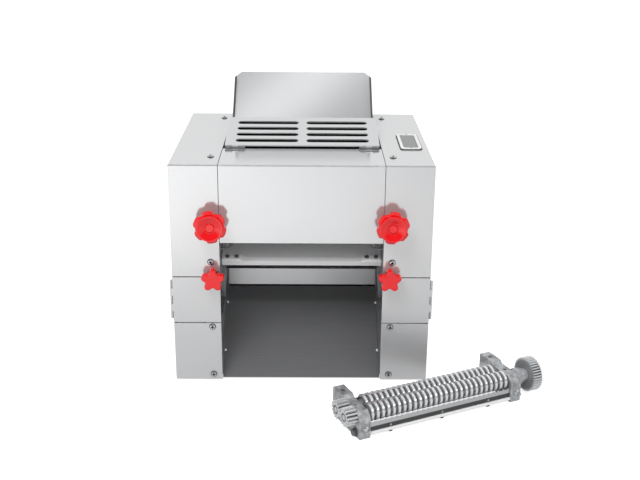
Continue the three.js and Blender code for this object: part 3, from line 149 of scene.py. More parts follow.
def linear(hex_colour):
    """Linear colour with full alpha from an sRGB hex value."""
    shares = [int(hex_colour[i:i + 2], 16) / 255 for i in (0, 2, 4)]
    return (*[s / 12.92 if s <= 0.04045 else ((s + 0.055) / 1.055) ** 2.4 for s in shares], 1)


def set_inputs(node, inputs):
    """Give a node its inputs, each a value, an output, or a node for its first output."""
    for name, value in inputs.items():
        if isinstance(value, bpy.types.Node):
            value = value.outputs[0]
        if isinstance(value, bpy.types.NodeSocket):
            node.id_data.links.new(value, node.inputs[name])
        else:
            node.inputs[name].default_value = value


def add_node(tree, kind, inputs=None, **settings):
    """Add one shader node with its inputs and its settings."""
    made = tree.nodes.new("ShaderNode" + kind)
    for name, value in settings.items():
        setattr(made, name, value)
    set_inputs(made, inputs or {})
    return made


def seen_directly(tree, mirrored=1.0):
    """1 for rays of the camera and of clear materials, and a share for rays of reflections."""
    path = add_node(tree, "LightPath").outputs
    straight = add_node(tree, "Math",
                        {0: path["Is Camera Ray"], 1: path["Is Transmission Ray"]}, operation="MAXIMUM")
    shared = add_node(tree, "Math", {0: path["Is Glossy Ray"], 1: mirrored}, operation="MULTIPLY")
    return add_node(tree, "Math", {0: straight, 1: shared}, operation="ADD")


surround = bpy.data.worlds.new("surround")
surround.use_nodes = True
bpy.context.scene.world = surround
tree = surround.node_tree
tree.nodes.clear()
way = add_node(tree, "TexCoord").outputs["Generated"]
axes = add_node(tree, "SeparateXYZ", {"Vector": way}).outputs
overhead = add_node(tree, "MapRange",
                    {"Value": axes["Z"], "From Min": ceiling_from, "From Max": ceiling_to},
                    interpolation_type="SMOOTHSTEP")
lean = add_node(tree, "Math", {0: axes["Y"], 1: strip_lean}, operation="MULTIPLY")
off_strip = add_node(tree, "Math", {0: axes["X"], 1: lean}, operation="SUBTRACT")
off_strip = add_node(tree, "Math", {0: off_strip, 1: strip_place}, operation="ADD")
beside = add_node(tree, "Math", {0: off_strip}, operation="ABSOLUTE")
strip = add_node(tree, "MapRange",
                 {"Value": beside, "From Max": strip_half, "To Min": 1.0, "To Max": 0.0},
                 interpolation_type="SMOOTHSTEP")
ceiling = add_node(tree, "MixRGB",
                   {"Fac": strip, "Color1": linear(ceiling_hex), "Color2": (*[strip_light] * 3, 1)})
sky = add_node(tree, "MixRGB", {"Fac": overhead, "Color1": (1, 1, 1, 1), "Color2": ceiling})
strength = add_node(tree, "MapRange",
                    {"Value": seen_directly(tree), "To Min": surround_light, "To Max": surround_white})
band = add_node(tree, "LightPath").outputs["Is Glossy Ray"]
for axis, start, end in (
    ("Y", front_from, front_to),
    ("Z", front_low, front_low + front_soft),
    ("Z", front_high, front_high - front_soft),
):
    share = add_node(tree, "MapRange", {"Value": axes[axis], "From Min": start, "From Max": end},
                     interpolation_type="SMOOTHSTEP")
    band = add_node(tree, "Math", {0: band, 1: share}, operation="MULTIPLY")
dimmed = add_node(tree, "MapRange", {"Value": band, "To Min": 1.0, "To Max": front_dim})
sky_strength = add_node(tree, "Math", {0: strength, 1: dimmed}, operation="MULTIPLY")
back = add_node(tree, "Background", {"Color": sky, "Strength": sky_strength})
add_node(tree, "OutputWorld", {"Surface": back})

bpy.ops.object.select_all(action="DESELECT")
bpy.ops.mesh.primitive_plane_add(size=floor_size, location=(0, 0, floor_height))
floor = bpy.context.object
floor.name = "studio_floor"
paint = bpy.data.materials.new("pale_floor")
paint.use_nodes = True
tree = paint.node_tree
tree.nodes.clear()
matt = add_node(tree, "BsdfDiffuse", {"Color": linear(floor_hex)})
# Painted shadow: the glow seen in reflections fades near the machine and towards the right.
spot = add_node(tree, "TexCoord").outputs["Object"]
axes = add_node(tree, "SeparateXYZ", {"Vector": spot}).outputs
ahead = add_node(tree, "MapRange",
                 {"Value": axes["Y"], "From Min": floor_near, "From Max": floor_far,
                  "To Min": floor_dim_near}, interpolation_type="SMOOTHSTEP")
sideways = add_node(tree, "MapRange",
                    {"Value": axes["X"], "From Min": -floor_side, "From Max": floor_side,
                     "To Min": floor_left, "To Max": floor_right})
mirrored = add_node(tree, "Math", {0: ahead, 1: sideways}, operation="MULTIPLY")
glow_strength = add_node(tree, "Math",
                         {0: seen_directly(tree, mirrored), 1: floor_glow}, operation="MULTIPLY")
glow = add_node(tree, "Emission", {"Strength": glow_strength})
both = add_node(tree, "AddShader", {0: matt, 1: glow})
add_node(tree, "OutputMaterial", {"Surface": both})
floor.data.materials.append(paint)
floor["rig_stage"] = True

for name, (place, wide, deep, power) in lamps.items():
    data = bpy.data.lights.new(name, "AREA")
    data.shape = "ELLIPSE" if wide == deep else "RECTANGLE"
    data.size = wide
    data.size_y = deep
    data.energy = power
    lamp = bpy.data.objects.new(name, data)
    bpy.context.scene.collection.objects.link(lamp)
    lamp.visible_glossy = name != "key_lamp"
    lamp.location = place
    lamp.rotation_euler = (Vector(place) - Vector(lamp_target)).to_track_quat("Z", "Y").to_euler()
bpy.context.scene.view_settings.view_transform = "Standard"


# Base plate: 5 mm rolled steel plate that carries the whole machine, with a notch at the
# front for the chute. It is cut by laser, dull grey, and its edges are only just broken.
rolled_hex = "7C7D7F"
rolled_line = 0.002
cloud_size = 0.12
line_stretch = 60
noise_low = 0.3
noise_high = 0.7
plate_edge = 0.0005
fold_round = 0.0026
merge_reach = 0.00001
flat_angle = math.radians(1)
smooth_angle = math.radians(40)


def blank(name):
    """A new material with its node tree, its shader and its Object coordinates."""
    made = bpy.data.materials.new(name)
    made.use_nodes = True
    tree = made.node_tree
    spot = add_node(tree, "TexCoord").outputs["Object"]
    return made, tree, tree.nodes["Principled BSDF"], spot


def steel(name, colour, roughness, spread=0.03, line=0.0009, along="X", depth=0.00002, metal=1.0,
          vary=0.15):
    """Worked steel: fine tool lines along one axis, and a tint that changes in soft clouds."""
    made, tree, shader, spot = blank(name)
    stretch = [1 / line] * 3
    stretch["XYZ".index(along)] /= line_stretch
    laid = add_node(tree, "Mapping", {"Vector": spot, "Scale": stretch})
    lines = add_node(tree, "TexNoise", {"Vector": laid, "Scale": 1.0, "Detail": 3.0})
    clouds = add_node(tree, "TexNoise", {"Vector": spot, "Scale": 1 / cloud_size, "Detail": 2.0})
    darker = (*[c * (1 - spread) for c in linear(colour)[:3]], 1)
    tint = add_node(tree, "MixRGB", {"Fac": clouds, "Color1": linear(colour), "Color2": darker})
    gloss = add_node(tree, "MapRange",
                     {"Value": lines, "From Min": noise_low, "From Max": noise_high,
                      "To Min": roughness * (1 - vary), "To Max": roughness * (1 + vary)})
    grain = add_node(tree, "Bump", {"Height": lines, "Strength": 0.25, "Distance": depth})
    set_inputs(shader, {"Base Color": tint, "Metallic": metal, "Roughness": gloss, "Normal": grain})
    return made


def only(piece):
    """Select one piece and make it active."""
    bpy.ops.object.select_all(action="DESELECT")
    piece.hide_viewport = False
    piece.select_set(True)
    bpy.context.view_layer.objects.active = piece


def round_edges(piece, width, segments=3, angle=30):
    """Round each edge sharper than an angle, shade the rest smooth and keep flat faces flat."""
    only(piece)
    bevel = piece.modifiers.new("rounding", "BEVEL")
    bevel.width = width
    bevel.segments = segments
    bevel.limit_method = "ANGLE"
    bevel.angle_limit = math.radians(angle)
    bpy.ops.object.modifier_apply(modifier="rounding")
    bpy.ops.object.shade_smooth_by_angle(angle=smooth_angle)
    flats = piece.modifiers.new("flats", "WEIGHTED_NORMAL")
    flats.keep_sharp = True
    flats.weight = 100
    bpy.ops.object.modifier_apply(modifier="flats")


def fit(piece, material, body, slot, *stands_for):
    """Give a finished piece its material, the body it rides on and the nodes it stands for."""
    piece.data.materials.clear()
    piece.data.materials.append(material)
    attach(piece, body)
    if stands_for:
        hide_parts(*stands_for)


def from_frame(name, node):
    """A copy of a frame node's mesh, with its corners merged and its flat faces made whole."""
    piece = nodes[node].copy()
    piece.data = nodes[node].data.copy()
    piece.parent = None
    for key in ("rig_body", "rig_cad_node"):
        del piece[key]
    piece.name = piece.data.name = name
    bpy.context.scene.collection.objects.link(piece)
    only(piece)
    bpy.ops.object.mode_set(mode="EDIT")
    bpy.ops.mesh.select_all(action="SELECT")
    bpy.ops.mesh.remove_doubles(threshold=merge_reach)
    bpy.ops.mesh.dissolve_limited(angle_limit=flat_angle)
    bpy.ops.object.mode_set(mode="OBJECT")
    return piece


def pick(piece, kind, wanted):
    """Select the corners, or the edges by both ends, that pass a test, and go to edit mode."""
    only(piece)
    bpy.ops.object.mode_set(mode="EDIT")
    bpy.ops.mesh.select_mode(type=kind)
    bpy.ops.mesh.select_all(action="DESELECT")
    bpy.ops.object.mode_set(mode="OBJECT")
    corners = piece.data.vertices
    for part in corners if kind == "VERT" else piece.data.edges:
        ends = [part.index] if kind == "VERT" else part.vertices
        part.select = wanted(*[corners[i].co for i in ends])
    bpy.ops.object.mode_set(mode="EDIT")


def bevel_edges(piece, wanted, width, segments):
    """Round the edges of a piece whose two ends pass a test together."""
    pick(piece, "EDGE", wanted)
    bpy.ops.mesh.bevel(offset=width, segments=segments)
    bpy.ops.object.mode_set(mode="OBJECT")


def dress(name, node, material, slot, width=plate_edge, fold=None):
    """A sheet, cast or machined piece of the frame, with its edges and its fold rounded."""
    piece = from_frame(name, node)
    if fold:
        bevel_edges(piece, lambda start, end: fold(start) and fold(end), fold_round, 4)
    round_edges(piece, width)
    fit(piece, material, nodes[node]["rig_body"], slot, node)
    return piece


rolled = steel("rolled_sheet", rolled_hex, 0.42, spread=0.08, line=rolled_line)
dress("base_sheet", "base_plate", rolled, "dark_sheet")


# Feet: four turned blocks of black rubber, each screwed up into the base plate through a
# hole in its middle. They are moulded, with a rounded lower rim and a fine matt skin.
foot_taper = 0.86
foot_hole = 0.004
foot_hole_depth = 0.004
foot_rim = 0.0016
rubber_hex = "1C1C1D"
rubber_grain = 0.0006
spin_steps = 96


def lathe(name, line, steps=spin_steps):
    """A turned piece about the X axis, from a line through (along, radius) points."""
    bpy.ops.object.select_all(action="DESELECT")
    bpy.ops.mesh.primitive_plane_add(size=1)
    piece = bpy.context.object
    piece.name = piece.data.name = name
    bpy.ops.object.mode_set(mode="EDIT")
    bpy.ops.mesh.select_mode(type="VERT")
    bpy.ops.mesh.select_all(action="SELECT")
    bpy.ops.mesh.merge(type="CENTER")
    bpy.ops.transform.translate(value=(line[0][0], 0, line[0][1]))
    for (along, radius), (next_along, next_radius) in zip(line, line[1:]):
        step = (next_along - along, 0, next_radius - radius)
        bpy.ops.mesh.extrude_region_move(TRANSFORM_OT_translate={"value": step})
    bpy.ops.mesh.select_all(action="SELECT")
    bpy.ops.mesh.spin(steps=steps, angle=math.tau, center=(0, 0, 0), axis=(1, 0, 0))
    bpy.ops.mesh.select_all(action="SELECT")
    bpy.ops.mesh.remove_doubles(threshold=merge_reach)
    bpy.ops.mesh.normals_make_consistent(inside=False)
    bpy.ops.object.mode_set(mode="OBJECT")
    return piece


def place(piece, where, turn=(0, 0, 0)):
    """Turn a piece about the origin, move it, and leave its place in its mesh."""
    only(piece)
    piece.rotation_euler = turn
    piece.location = where
    bpy.ops.object.transform_apply()


def copy_of(piece, name):
    """A copy of a piece that has its own mesh."""
    made = piece.copy()
    made.data = piece.data.copy()
    made.name = made.data.name = name
    bpy.context.scene.collection.objects.link(made)
    return made


def drop(*shapes):
    """Delete shapes that were made only to be copied or to cut with."""
    for shape in shapes:
        bpy.data.objects.remove(shape)


def moulded(name, colour, roughness, grain=0.0008, depth=0.00001, shine=0.5):
    """Moulded plastic or rubber: one colour through and through, under a very fine skin."""
    made, tree, shader, spot = blank(name)
    skin = add_node(tree, "TexNoise", {"Vector": spot, "Scale": 1 / grain, "Detail": 2.0})
    bump = add_node(tree, "Bump", {"Height": skin, "Strength": 0.3, "Distance": depth})
    set_inputs(shader, {"Base Color": linear(colour), "Roughness": roughness, "IOR": 1.5,
                        "Specular IOR Level": shine, "Normal": bump})
    return made


rubber = moulded("black_rubber_moulded", rubber_hex, 0.7, rubber_grain, depth=0.00004)
upward = (0, -math.pi / 2, 0)
low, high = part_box("front_left_foot")
foot_height = high.z - low.z
foot_radius = (high.x - low.x) / 2
foot_line = [
    (foot_hole_depth, 0),
    (foot_hole_depth, foot_hole),
    (0, foot_hole),
    (0, foot_radius),
    (foot_height, foot_radius * foot_taper),
    (foot_height, 0),
]
foot = lathe("foot", foot_line)
round_edges(foot, foot_rim)
for row in ("front", "rear"):
    for hand in ("left", "right"):
        low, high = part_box(f"{row}_{hand}_foot")
        made = copy_of(foot, f"{row}_{hand}_rubber_foot")
        place(made, ((low.x + high.x) / 2, (low.y + high.y) / 2, low.z), upward)
        fit(made, rubber, "root", "black_rubber", f"{row}_{hand}_foot")
drop(foot)


# Side frames: two cast plates with a flange all round, milled where shafts and covers sit.
# Cast steel keeps a mottled, slightly rough grey skin. The sliding bearing blocks are alike.
cast_hex = "8B8D90"
cast_light_hex = "B4B6B8"
cast_blotch = 0.012
cast_grain = 0.0009
cast_depth = 0.00006
cast_edge = 0.001
blotch_low = 0.35
blotch_high = 0.65


def cast(name, dark, light, roughness, metal=0.75):
    """Cast metal with a blotchy grey skin and a sandy grain."""
    made, tree, shader, spot = blank(name)
    blotch = add_node(tree, "TexNoise",
                      {"Vector": spot, "Scale": 1 / cast_blotch, "Detail": 5.0, "Roughness": 0.65})
    sand = add_node(tree, "TexNoise", {"Vector": spot, "Scale": 1 / cast_grain, "Detail": 2.0})
    mottled = add_node(tree, "MapRange",
                       {"Value": blotch, "From Min": blotch_low, "From Max": blotch_high})
    tint = add_node(tree, "MixRGB",
                    {"Fac": mottled, "Color1": linear(dark), "Color2": linear(light)})
    gloss = add_node(tree, "MapRange",
                     {"Value": blotch, "To Min": roughness * 0.85, "To Max": roughness * 1.15})
    bump = add_node(tree, "Bump", {"Height": sand, "Strength": 0.5, "Distance": cast_depth})
    set_inputs(shader, {"Base Color": tint, "Metallic": metal, "Roughness": gloss, "Normal": bump})
    return made


cast_frame = cast("cast_side_frame", cast_hex, cast_light_hex, 0.5)
for hand in ("left", "right"):
    dress(f"{hand}_side_frame", f"{hand}_frame_plate", cast_frame, "cast_steel", cast_edge)
    dress(f"{hand}_sliding_block", f"{hand}_bearing_block", cast_frame, "cast_steel")


# Drive: an enamelled motor on its feet, a rubber belt over two cast pulleys, and steel spur
# gears with machined faces. All of it sits behind the covers on the right and at the back.
enamel_hex = "3C4F66"
machined_hex = "A4A6A9"
gear_edge = 0.0003
enamel = moulded("motor_enamel", enamel_hex, 0.3, grain=0.0015, depth=0.00002)
machined = steel("machined_gear_steel", machined_hex, 0.32, spread=0.1, line=0.0006)
dress("motor_housing", "motor", enamel, "motor_paint", cast_edge)
dress("belt", "drive_belt", rubber, "black_rubber", gear_edge)
for node in ("main_drive_gear", "rear_roller_gear", "front_roller_gear", "intermediate_shaft"):
    dress(f"{node}_steel", node, machined, "cast_steel", gear_edge)
for node in ("large_pulley", "motor_pulley"):
    dress(f"{node}_cast", node, cast_frame, "cast_steel", gear_edge)


# Dough rollers: two solid steel rolls, turned and ground to a bright finish, with thinner
# journals that run in the side frames. The grinding leaves rings too fine to see singly.
ground_hex = "E4E5E6"
ground_line = 0.0012
roll_journal = 0.0125
roll_edge = 0.001
roll_radius = 0.028
roll_end_gap = 0.0024
ground = steel("ground_steel", ground_hex, 0.16, 0.04, ground_line, along="Y", depth=0.00001)
inside = -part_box("left_frame_plate")[1].x
for row in ("front", "rear"):
    low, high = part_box(f"{row}_roller")
    face = inside - roll_end_gap
    roll_line = [
        (low.x, 0),
        (low.x, roll_journal),
        (-face, roll_journal),
        (-face, roll_radius),
        (face, roll_radius),
        (face, roll_journal),
        (high.x, roll_journal),
        (high.x, 0),
    ]
    roll = lathe(f"{row}_dough_roll", roll_line)
    round_edges(roll, roll_edge)
    place(roll, (0, (low.y + high.y) / 2, (low.z + high.z) / 2))
    fit(roll, ground, f"{row}_roller", "bright_steel", f"{row}_roller")


# Scraper: a strip of 2 mm blasted stainless under the front roll that lifts the dough off it.
# It hangs on two screwed end brackets, and a coil spring at each end presses it to the roll.
satin_hex = "C9CACB"
blasted_hex = "F4F5F6"
bracket_hex = "FAFAFA"
bracket = (0.031, 0.012, 0.0012)
bracket_across = 0.1205
bracket_above = 0.0024
scraper_edge = 0.0003
scraper_tilt = math.radians(29)
scraper_start = (-0.16761, 0.20647)
scraper_screws = (0.112, 0.128)
screw_row = 0.009
head_above = 0.0029
small_head = 0.0040
small_head_rise = 0.0018
slot_width = 0.0011
head_side = 0.55
head_flat = 0.6
head_round = 0.25
cross_reach = 1.2
slot_reach = 2.4
tool_tall = 1.2
tool_middle = 1.1
small_steps = 48
black_oxide_hex = "2B2C2D"
aged_hex = "77787A"
zinc_hex = "D2D4D6"
satin = steel("satin_stainless", satin_hex, 0.34, spread=0.06)
blasted = steel("blasted_stainless", blasted_hex, 0.5, spread=0.06, metal=0.2)
bracket_steel = steel("dull_zinc_bracket", bracket_hex, 0.5, spread=0.12, metal=0.2)
zinc = steel("zinc_plated_steel", zinc_hex, 0.26, spread=0.08, line=0.0008)
black_oxide = steel("black_oxide_steel", black_oxide_hex, 0.45, spread=0.1)
aged = steel("aged_screw_steel", aged_hex, 0.45, spread=0.15, metal=0.6)


def cut_away(piece, tool):
    """Take one solid out of another, and drop the tool."""
    only(piece)
    away = piece.modifiers.new("cut", "BOOLEAN")
    away.operation = "DIFFERENCE"
    away.solver = "EXACT"
    away.object = tool
    bpy.ops.object.modifier_apply(modifier="cut")
    drop(tool)


def bar(name, size, where=(0, 0, 0)):
    """A plain bar, to be rounded later or to serve as the tool of a cut."""
    bpy.ops.object.select_all(action="DESELECT")
    bpy.ops.mesh.primitive_cube_add(size=1, location=where, scale=size)
    bpy.ops.object.transform_apply()
    piece = bpy.context.object
    piece.name = piece.data.name = name
    return piece


def screw_head(name, radius, rise, slot, crossed):
    """A pan head that faces +X from the surface at x = 0, with a slot or a cross in it."""
    head_line = [(0, 0), (0, radius), (rise * head_side, radius), (rise, radius * head_flat), (rise, 0)]
    made = lathe(name, head_line, small_steps)
    round_edges(made, rise * head_round, 4)
    length = radius * (cross_reach if crossed else slot_reach)
    for wide, tall in ((length, slot), (slot, length))[:2 if crossed else 1]:
        cut_away(made, bar("slot_tool", (rise * tool_tall, wide, tall), (rise * tool_middle, 0, 0)))
    return made


def on_scraper(across, above):
    """A place on the row of the scraper's screws, given across and above its plate."""
    y, z = scraper_start
    return (
        across,
        y + screw_row * math.cos(scraper_tilt) - above * math.sin(scraper_tilt),
        z + screw_row * math.sin(scraper_tilt) + above * math.cos(scraper_tilt),
    )


dress("scraper_strip", "scraper", blasted, "brushed_steel", scraper_edge)
small_screw = screw_head("small_screw", small_head, small_head_rise, slot_width, True)
for hand, side in (("left", -1), ("right", 1)):
    spring_materials = nodes[f"{hand}_scraper_spring"].data.materials
    spring_materials.clear()
    spring_materials.append(zinc)
    made = bar(f"{hand}_scraper_bracket", bracket)
    round_edges(made, bracket[2] / 3, 2)
    place(made, on_scraper(side * bracket_across, bracket_above), (scraper_tilt, 0, 0))
    fit(made, bracket_steel, "scraper", "brushed_steel")
    for number, across in enumerate(scraper_screws, 1):
        made = copy_of(small_screw, f"{hand}_scraper_screw_{number}")
        place(made, (0, 0, 0), upward)
        place(made, on_scraper(side * across, head_above), (scraper_tilt, 0, 0))
        fit(made, aged, "scraper", "dark_sheet")
drop(small_screw)


# Chute: dull rolled sheet like the base's, folded up at both sides, on which the dough slides
# out. Two bright pins through each side hold it in the side frames.
chute_hex = "8A8B8D"
chute_thick = 0.0015
pin_hex = "F0F1F2"
pin_places = ((-0.08125, 0.094), (-0.15525, 0.033))
pin_line = [(-0.001, 0), (-0.001, 0.0032), (0.0012, 0.0032), (0.0034, 0.0018), (0.0034, 0)]
pin_round = 0.0008
pin_steps = 32
pin_steel = steel("polished_pin_steel", pin_hex, 0.2, metal=0.6)
chute_steel = steel("chute_sheet_steel", chute_hex, 0.6, 0.04, 0.0008, depth=0.000004, metal=0.65)
pin = lathe("chute_pin", pin_line, pin_steps)
round_edges(pin, pin_round)
dress("chute_sheet", "chute", chute_steel, "dark_sheet")
chute_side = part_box("chute")[1].x - chute_thick
for hand, side, turn in (("left", -1, 0), ("right", 1, math.pi)):
    for number, (y, z) in enumerate(pin_places, 1):
        made = copy_of(pin, f"{hand}_chute_pin_{number}")
        place(made, (side * chute_side, y, z), (0, 0, turn))
        fit(made, pin_steel, "root", "bright_steel")
drop(pin)


# Outlet bar: a strip of satin stainless across the mouth behind the chute, with its edges
# folded back for stiffness. It is held at its ends in slots of the two side frames.
dress("outlet_strip", "outlet_bar", satin, "brushed_steel")


# Casing: side covers, column panels, doors and front cover, cut from 1.5 mm stainless sheet
# and folded on a press brake, so each fold is rounded. The covers and upper panels have a
# mirror-like polish, and the doors and lower panels are brushed.
sheet_hex = "CFD0D1"
sheet_gloss = 0.12
sheet_mirror = 0.55
brushed_gloss = 0.3
sheet_edge = 0.0007
polish_depth = 0.000003
brush_line = 0.0005
brush_depth = 0.0000001
near = 0.0002
brushed_vary = 0.01
knuckle_edge = 0.0002
front_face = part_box("front_cover")[0].y
top_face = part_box("left_side_cover")[1].z
side_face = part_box("right_side_cover")[1].x
brushed = steel("brushed_stainless_upright", sheet_hex, brushed_gloss, line=brush_line, along="Z",
                depth=brush_depth, metal=sheet_mirror, vary=brushed_vary)


def polished(name, along):
    """Mirror-like stainless sheet, with its polishing lines along one axis."""
    return steel(name, sheet_hex, sheet_gloss, line=brush_line, along=along, depth=polish_depth,
                 metal=sheet_mirror)


def on_top(co):
    """True on the plane of the casing's top."""
    return abs(co.z - top_face) < near


def top_side_fold(co):
    """True where the top of a side cover is folded down to its side."""
    return on_top(co) and abs(abs(co.x) - side_face) < near


def top_front_fold(co):
    """True where the top is folded down to the front."""
    return on_top(co) and abs(co.y - front_face) < near


polished_across = polished("polished_stainless_across", "X")
polished_upright = polished("polished_stainless_upright", "Z")
for hand in ("left", "right"):
    dress(f"{hand}_side_sheet", f"{hand}_side_cover", polished_across, "polished_steel", sheet_edge,
          top_side_fold)
    dress(f"{hand}_upper_sheet", f"{hand}_upper_panel", polished_upright, "polished_steel", sheet_edge,
          top_front_fold)
    dress(f"{hand}_lower_sheet", f"{hand}_lower_panel", brushed, "polished_steel", sheet_edge)
    dress(f"{hand}_door_sheet", f"{hand}_door", brushed, "polished_steel", sheet_edge)
    dress(f"{hand}_door_knuckles", f"{hand}_door_hinge", zinc, "bright_steel", knuckle_edge)
dress("front_sheet", "front_cover", polished_across, "polished_steel", sheet_edge, top_front_fold)


# Back cover and power inlet: satin stainless with two columns of air slots for the motor,
# and a moulded black socket for the mains lead with its three pins.
inlet_hex = "1E1F21"
black_plastic = moulded("black_nylon", inlet_hex, 0.45)
dress("back_sheet", "back_cover", satin, "brushed_steel")
dress("mains_inlet", "power_inlet", black_plastic, "black_plastic")


# Feed plate: polished sheet that rises to the back, with its upper corners cut off and a
# low side wall folded up along each upper edge. Two tabs a side hold it in the frames. A thin
# matt black sheet on its lower end paints the shade under the guard, and each folded lip is
# darker with painted shade, chosen by its place.
feed_slope = math.radians(37.4)
feed_start = (-0.0179, 0.3303)
shade_liner_from = 0.006
shade_liner_to = 0.114
shade_liner_half = 0.122
shade_liner_thick = 0.0008
shade_liner_lift = 0.0009
shade_liner_hex = "070708"
lip_shade_hex = "66676A"
lip_wide = 0.0032
lip_soft = 0.8
above_guard = 0.42
feed_steel = polished("polished_feed_sheet", "X")
feed = dress("feed_sheet", "feed_plate", feed_steel, "polished_steel")
lip_out = max(abs(corner.co.x) for corner in feed.data.vertices if corner.co.z > above_guard)
# Painted shade: the lips and the plate just beside them take a darker colour by their distance across.
tree = feed_steel.node_tree
colour_in = tree.nodes["Principled BSDF"].inputs["Base Color"]
spot = add_node(tree, "TexCoord").outputs["Object"]
across = add_node(tree, "SeparateXYZ", {"Vector": spot}).outputs["X"]
outward = add_node(tree, "Math", {0: across}, operation="ABSOLUTE")
on_lip_shade = add_node(tree, "MapRange",
                  {"Value": outward, "From Min": lip_out - lip_wide,
                   "From Max": lip_out - lip_wide * lip_soft})
shaded = add_node(tree, "MixRGB",
                  {"Fac": on_lip_shade, "Color1": colour_in.links[0].from_socket, "Color2": linear(lip_shade_hex)})
tree.links.new(shaded.outputs["Color"], colour_in)
# The black sheet is painted shade: it darkens the plate's lower end under the guard.
shade_liner_nylon = moulded("matt_black_shade_liner_nylon", shade_liner_hex, 0.9, shine=0.1)
shade_liner = bar("painted_shade_liner", (2 * shade_liner_half, shade_liner_to - shade_liner_from, shade_liner_thick),
            (0, (shade_liner_from + shade_liner_to) / 2, shade_liner_lift))
round_edges(shade_liner, shade_liner_thick / 3, 2)
place(shade_liner, (0, *feed_start), (feed_slope, 0, 0))
fit(shade_liner, shade_liner_nylon, "root", "black_plastic")


# Guard: a 2 mm polished plate with two columns of four slots, folded down at both sides and
# at the back. It keeps fingers off the rolls and turns up on two pinned hinges.
slot_grow = 0.001
slot_ends = 0.0066
guard_tilt = math.radians(10)
guard_axis = (-0.0878, 0.3889)
slot_inner = 0.0071
slot_outer = 0.1168
slot_high = 0.012
slot_first = 0.0251
slot_pitch = 0.0264
slot_rows = 4
slot_deep = 0.02


def upright(start, end):
    """True for an edge that runs up."""
    return abs(start.z - end.z) > near


guard = from_frame("guard_sheet", "guard")
for row in range(slot_rows):
    for side in (-1, 1):
        tool = bar("slot_tool", (slot_outer - slot_inner, slot_high + 2 * slot_grow, slot_deep))
        bevel_edges(tool, upright, slot_ends, 8)
        place(tool, (side * (slot_inner + slot_outer) / 2, slot_first + row * slot_pitch, 0))
        place(tool, (0, *guard_axis), (guard_tilt, 0, 0))
        cut_away(guard, tool)
round_edges(guard, plate_edge)
fit(guard, polished_across, "guard", "polished_steel", "guard")
for hand in ("left", "right"):
    dress(f"{hand}_guard_knuckles", f"{hand}_guard_hinge", satin, "bright_steel", knuckle_edge)


# Switch: a white moulded frame in the top right cover, with a soft grey silicone membrane
# over a start and a stop button. The membrane has a fine pebbled skin.
frame_hex = "F0F0EF"
membrane_hex = "909192"
start_hex = "2F8F4A"
gasket_reach = 0.0014
gasket_thick = 0.0012
gasket_corner = 0.006
latch_wide = 0.0035
latch_long = 0.003
latch_rise = 0.0006
latch_inset = 0.0026
red_hex = "E80E16"
frame_round = 0.0012
membrane_round = 0.0004
key_round = 0.001
white_plastic = moulded("white_abs", frame_hex, 0.35)
membrane = moulded("grey_silicone_membrane", membrane_hex, 0.5, 0.0012, 0.00015)
green_plastic = moulded("green_abs", start_hex, 0.3)
red_plastic = moulded("red_moulded_phenolic", red_hex, 0.13, 0.0012, 0.000004, 0.6)
dress("switch_surround", "switch_frame", white_plastic, "white_plastic", frame_round)
low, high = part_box("switch_frame")
gasket_size = (high.x - low.x + 2 * gasket_reach, high.y - low.y + 2 * gasket_reach, gasket_thick)
gasket_place = ((low.x + high.x) / 2, (low.y + high.y) / 2, top_face + gasket_thick / 2)
gasket = bar("switch_gasket", gasket_size, gasket_place)
bevel_edges(gasket, upright, gasket_corner, 6)
round_edges(gasket, gasket_thick / 4, 2)
fit(gasket, rubber, "root", "black_rubber")
for number, y in enumerate((low.y + latch_inset, high.y - latch_inset), 1):
    latch = bar(f"switch_latch_{number}", (latch_wide, latch_long, latch_rise),
                ((low.x + high.x) / 2, y, high.z))
    round_edges(latch, latch_rise / 4, 2)
    fit(latch, membrane, "root", "grey_membrane")
dress("switch_cover", "switch_membrane", membrane, "grey_membrane", membrane_round)
dress("start_key", "start_button", green_plastic, "green_plastic", key_round)
dress("stop_key", "stop_button", red_plastic, "red_plastic", key_round)


# Casing screws: zinc-plated pan heads with a deep cross, each on a thin blackened washer.
# They hold the column panels, the side covers and the back cover to the side frames.
head_radius = 0.0049
head_rise = 0.0024
cross_width = 0.0019
washer_radius = 0.0058
washer_thick = 0.0006
washer_round = 0.00024
cross_shade_rise = 0.0016
cross_shade_share = 0.7


def rod(name, start, end, radius, edge=0, steps=spin_steps, hole=0):
    """A plain turned piece from start to end along the X axis, with a hole or without."""
    line = [(start, hole), (start, radius), (end, radius), (end, hole)]
    if hole:
        line.append((start, hole))
    made = lathe(name, line, steps)
    if edge:
        round_edges(made, edge, 2)
    return made


def join(piece, *others):
    """Make several meshes one piece."""
    only(piece)
    for other in others:
        other.select_set(True)
    bpy.ops.object.join()
    return piece


screw_x = 0.1535
front_screw_heights = (0.005, 0.096, 0.2155)
top_screw_places = (-0.1435, 0.150)
back_screw_x = 0.2085
back_screw_heights = (0.02, 0.195, 0.365)
screw = screw_head("casing_screw", head_radius, head_rise, cross_width, True)
washer = rod("casing_washer", 0, washer_thick, washer_radius, washer_round, small_steps)
# A black plug joined to each washer fills the floor of the screw's cross with painted shade.
cross_shade_top = washer_thick + cross_shade_rise
cross_shade_plug = rod("screw_cross_shade_plug", washer_thick / 2, cross_shade_top, head_radius * cross_shade_share, steps=pin_steps)
washer = join(washer, cross_shade_plug)
place(screw, (washer_thick, 0, 0))
back_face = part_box("back_cover")[1].y
forward = (0, 0, -math.pi / 2)
backward = (0, 0, math.pi / 2)
spots = []
for side in (-1, 1):
    spots += [((side * screw_x, front_face, z), forward) for z in front_screw_heights]
    spots += [((side * screw_x, y, top_face), upward) for y in top_screw_places]
    spots += [((side * back_screw_x, back_face, z), backward) for z in back_screw_heights]
for number, (where, turn) in enumerate(spots, 1):
    for kind, shape, finish in (("screw", screw, zinc), ("washer", washer, black_oxide)):
        made = copy_of(shape, f"casing_{kind}_{number}")
        place(made, where, turn)
        fit(made, finish, "root", "bright_steel")
drop(screw, washer)


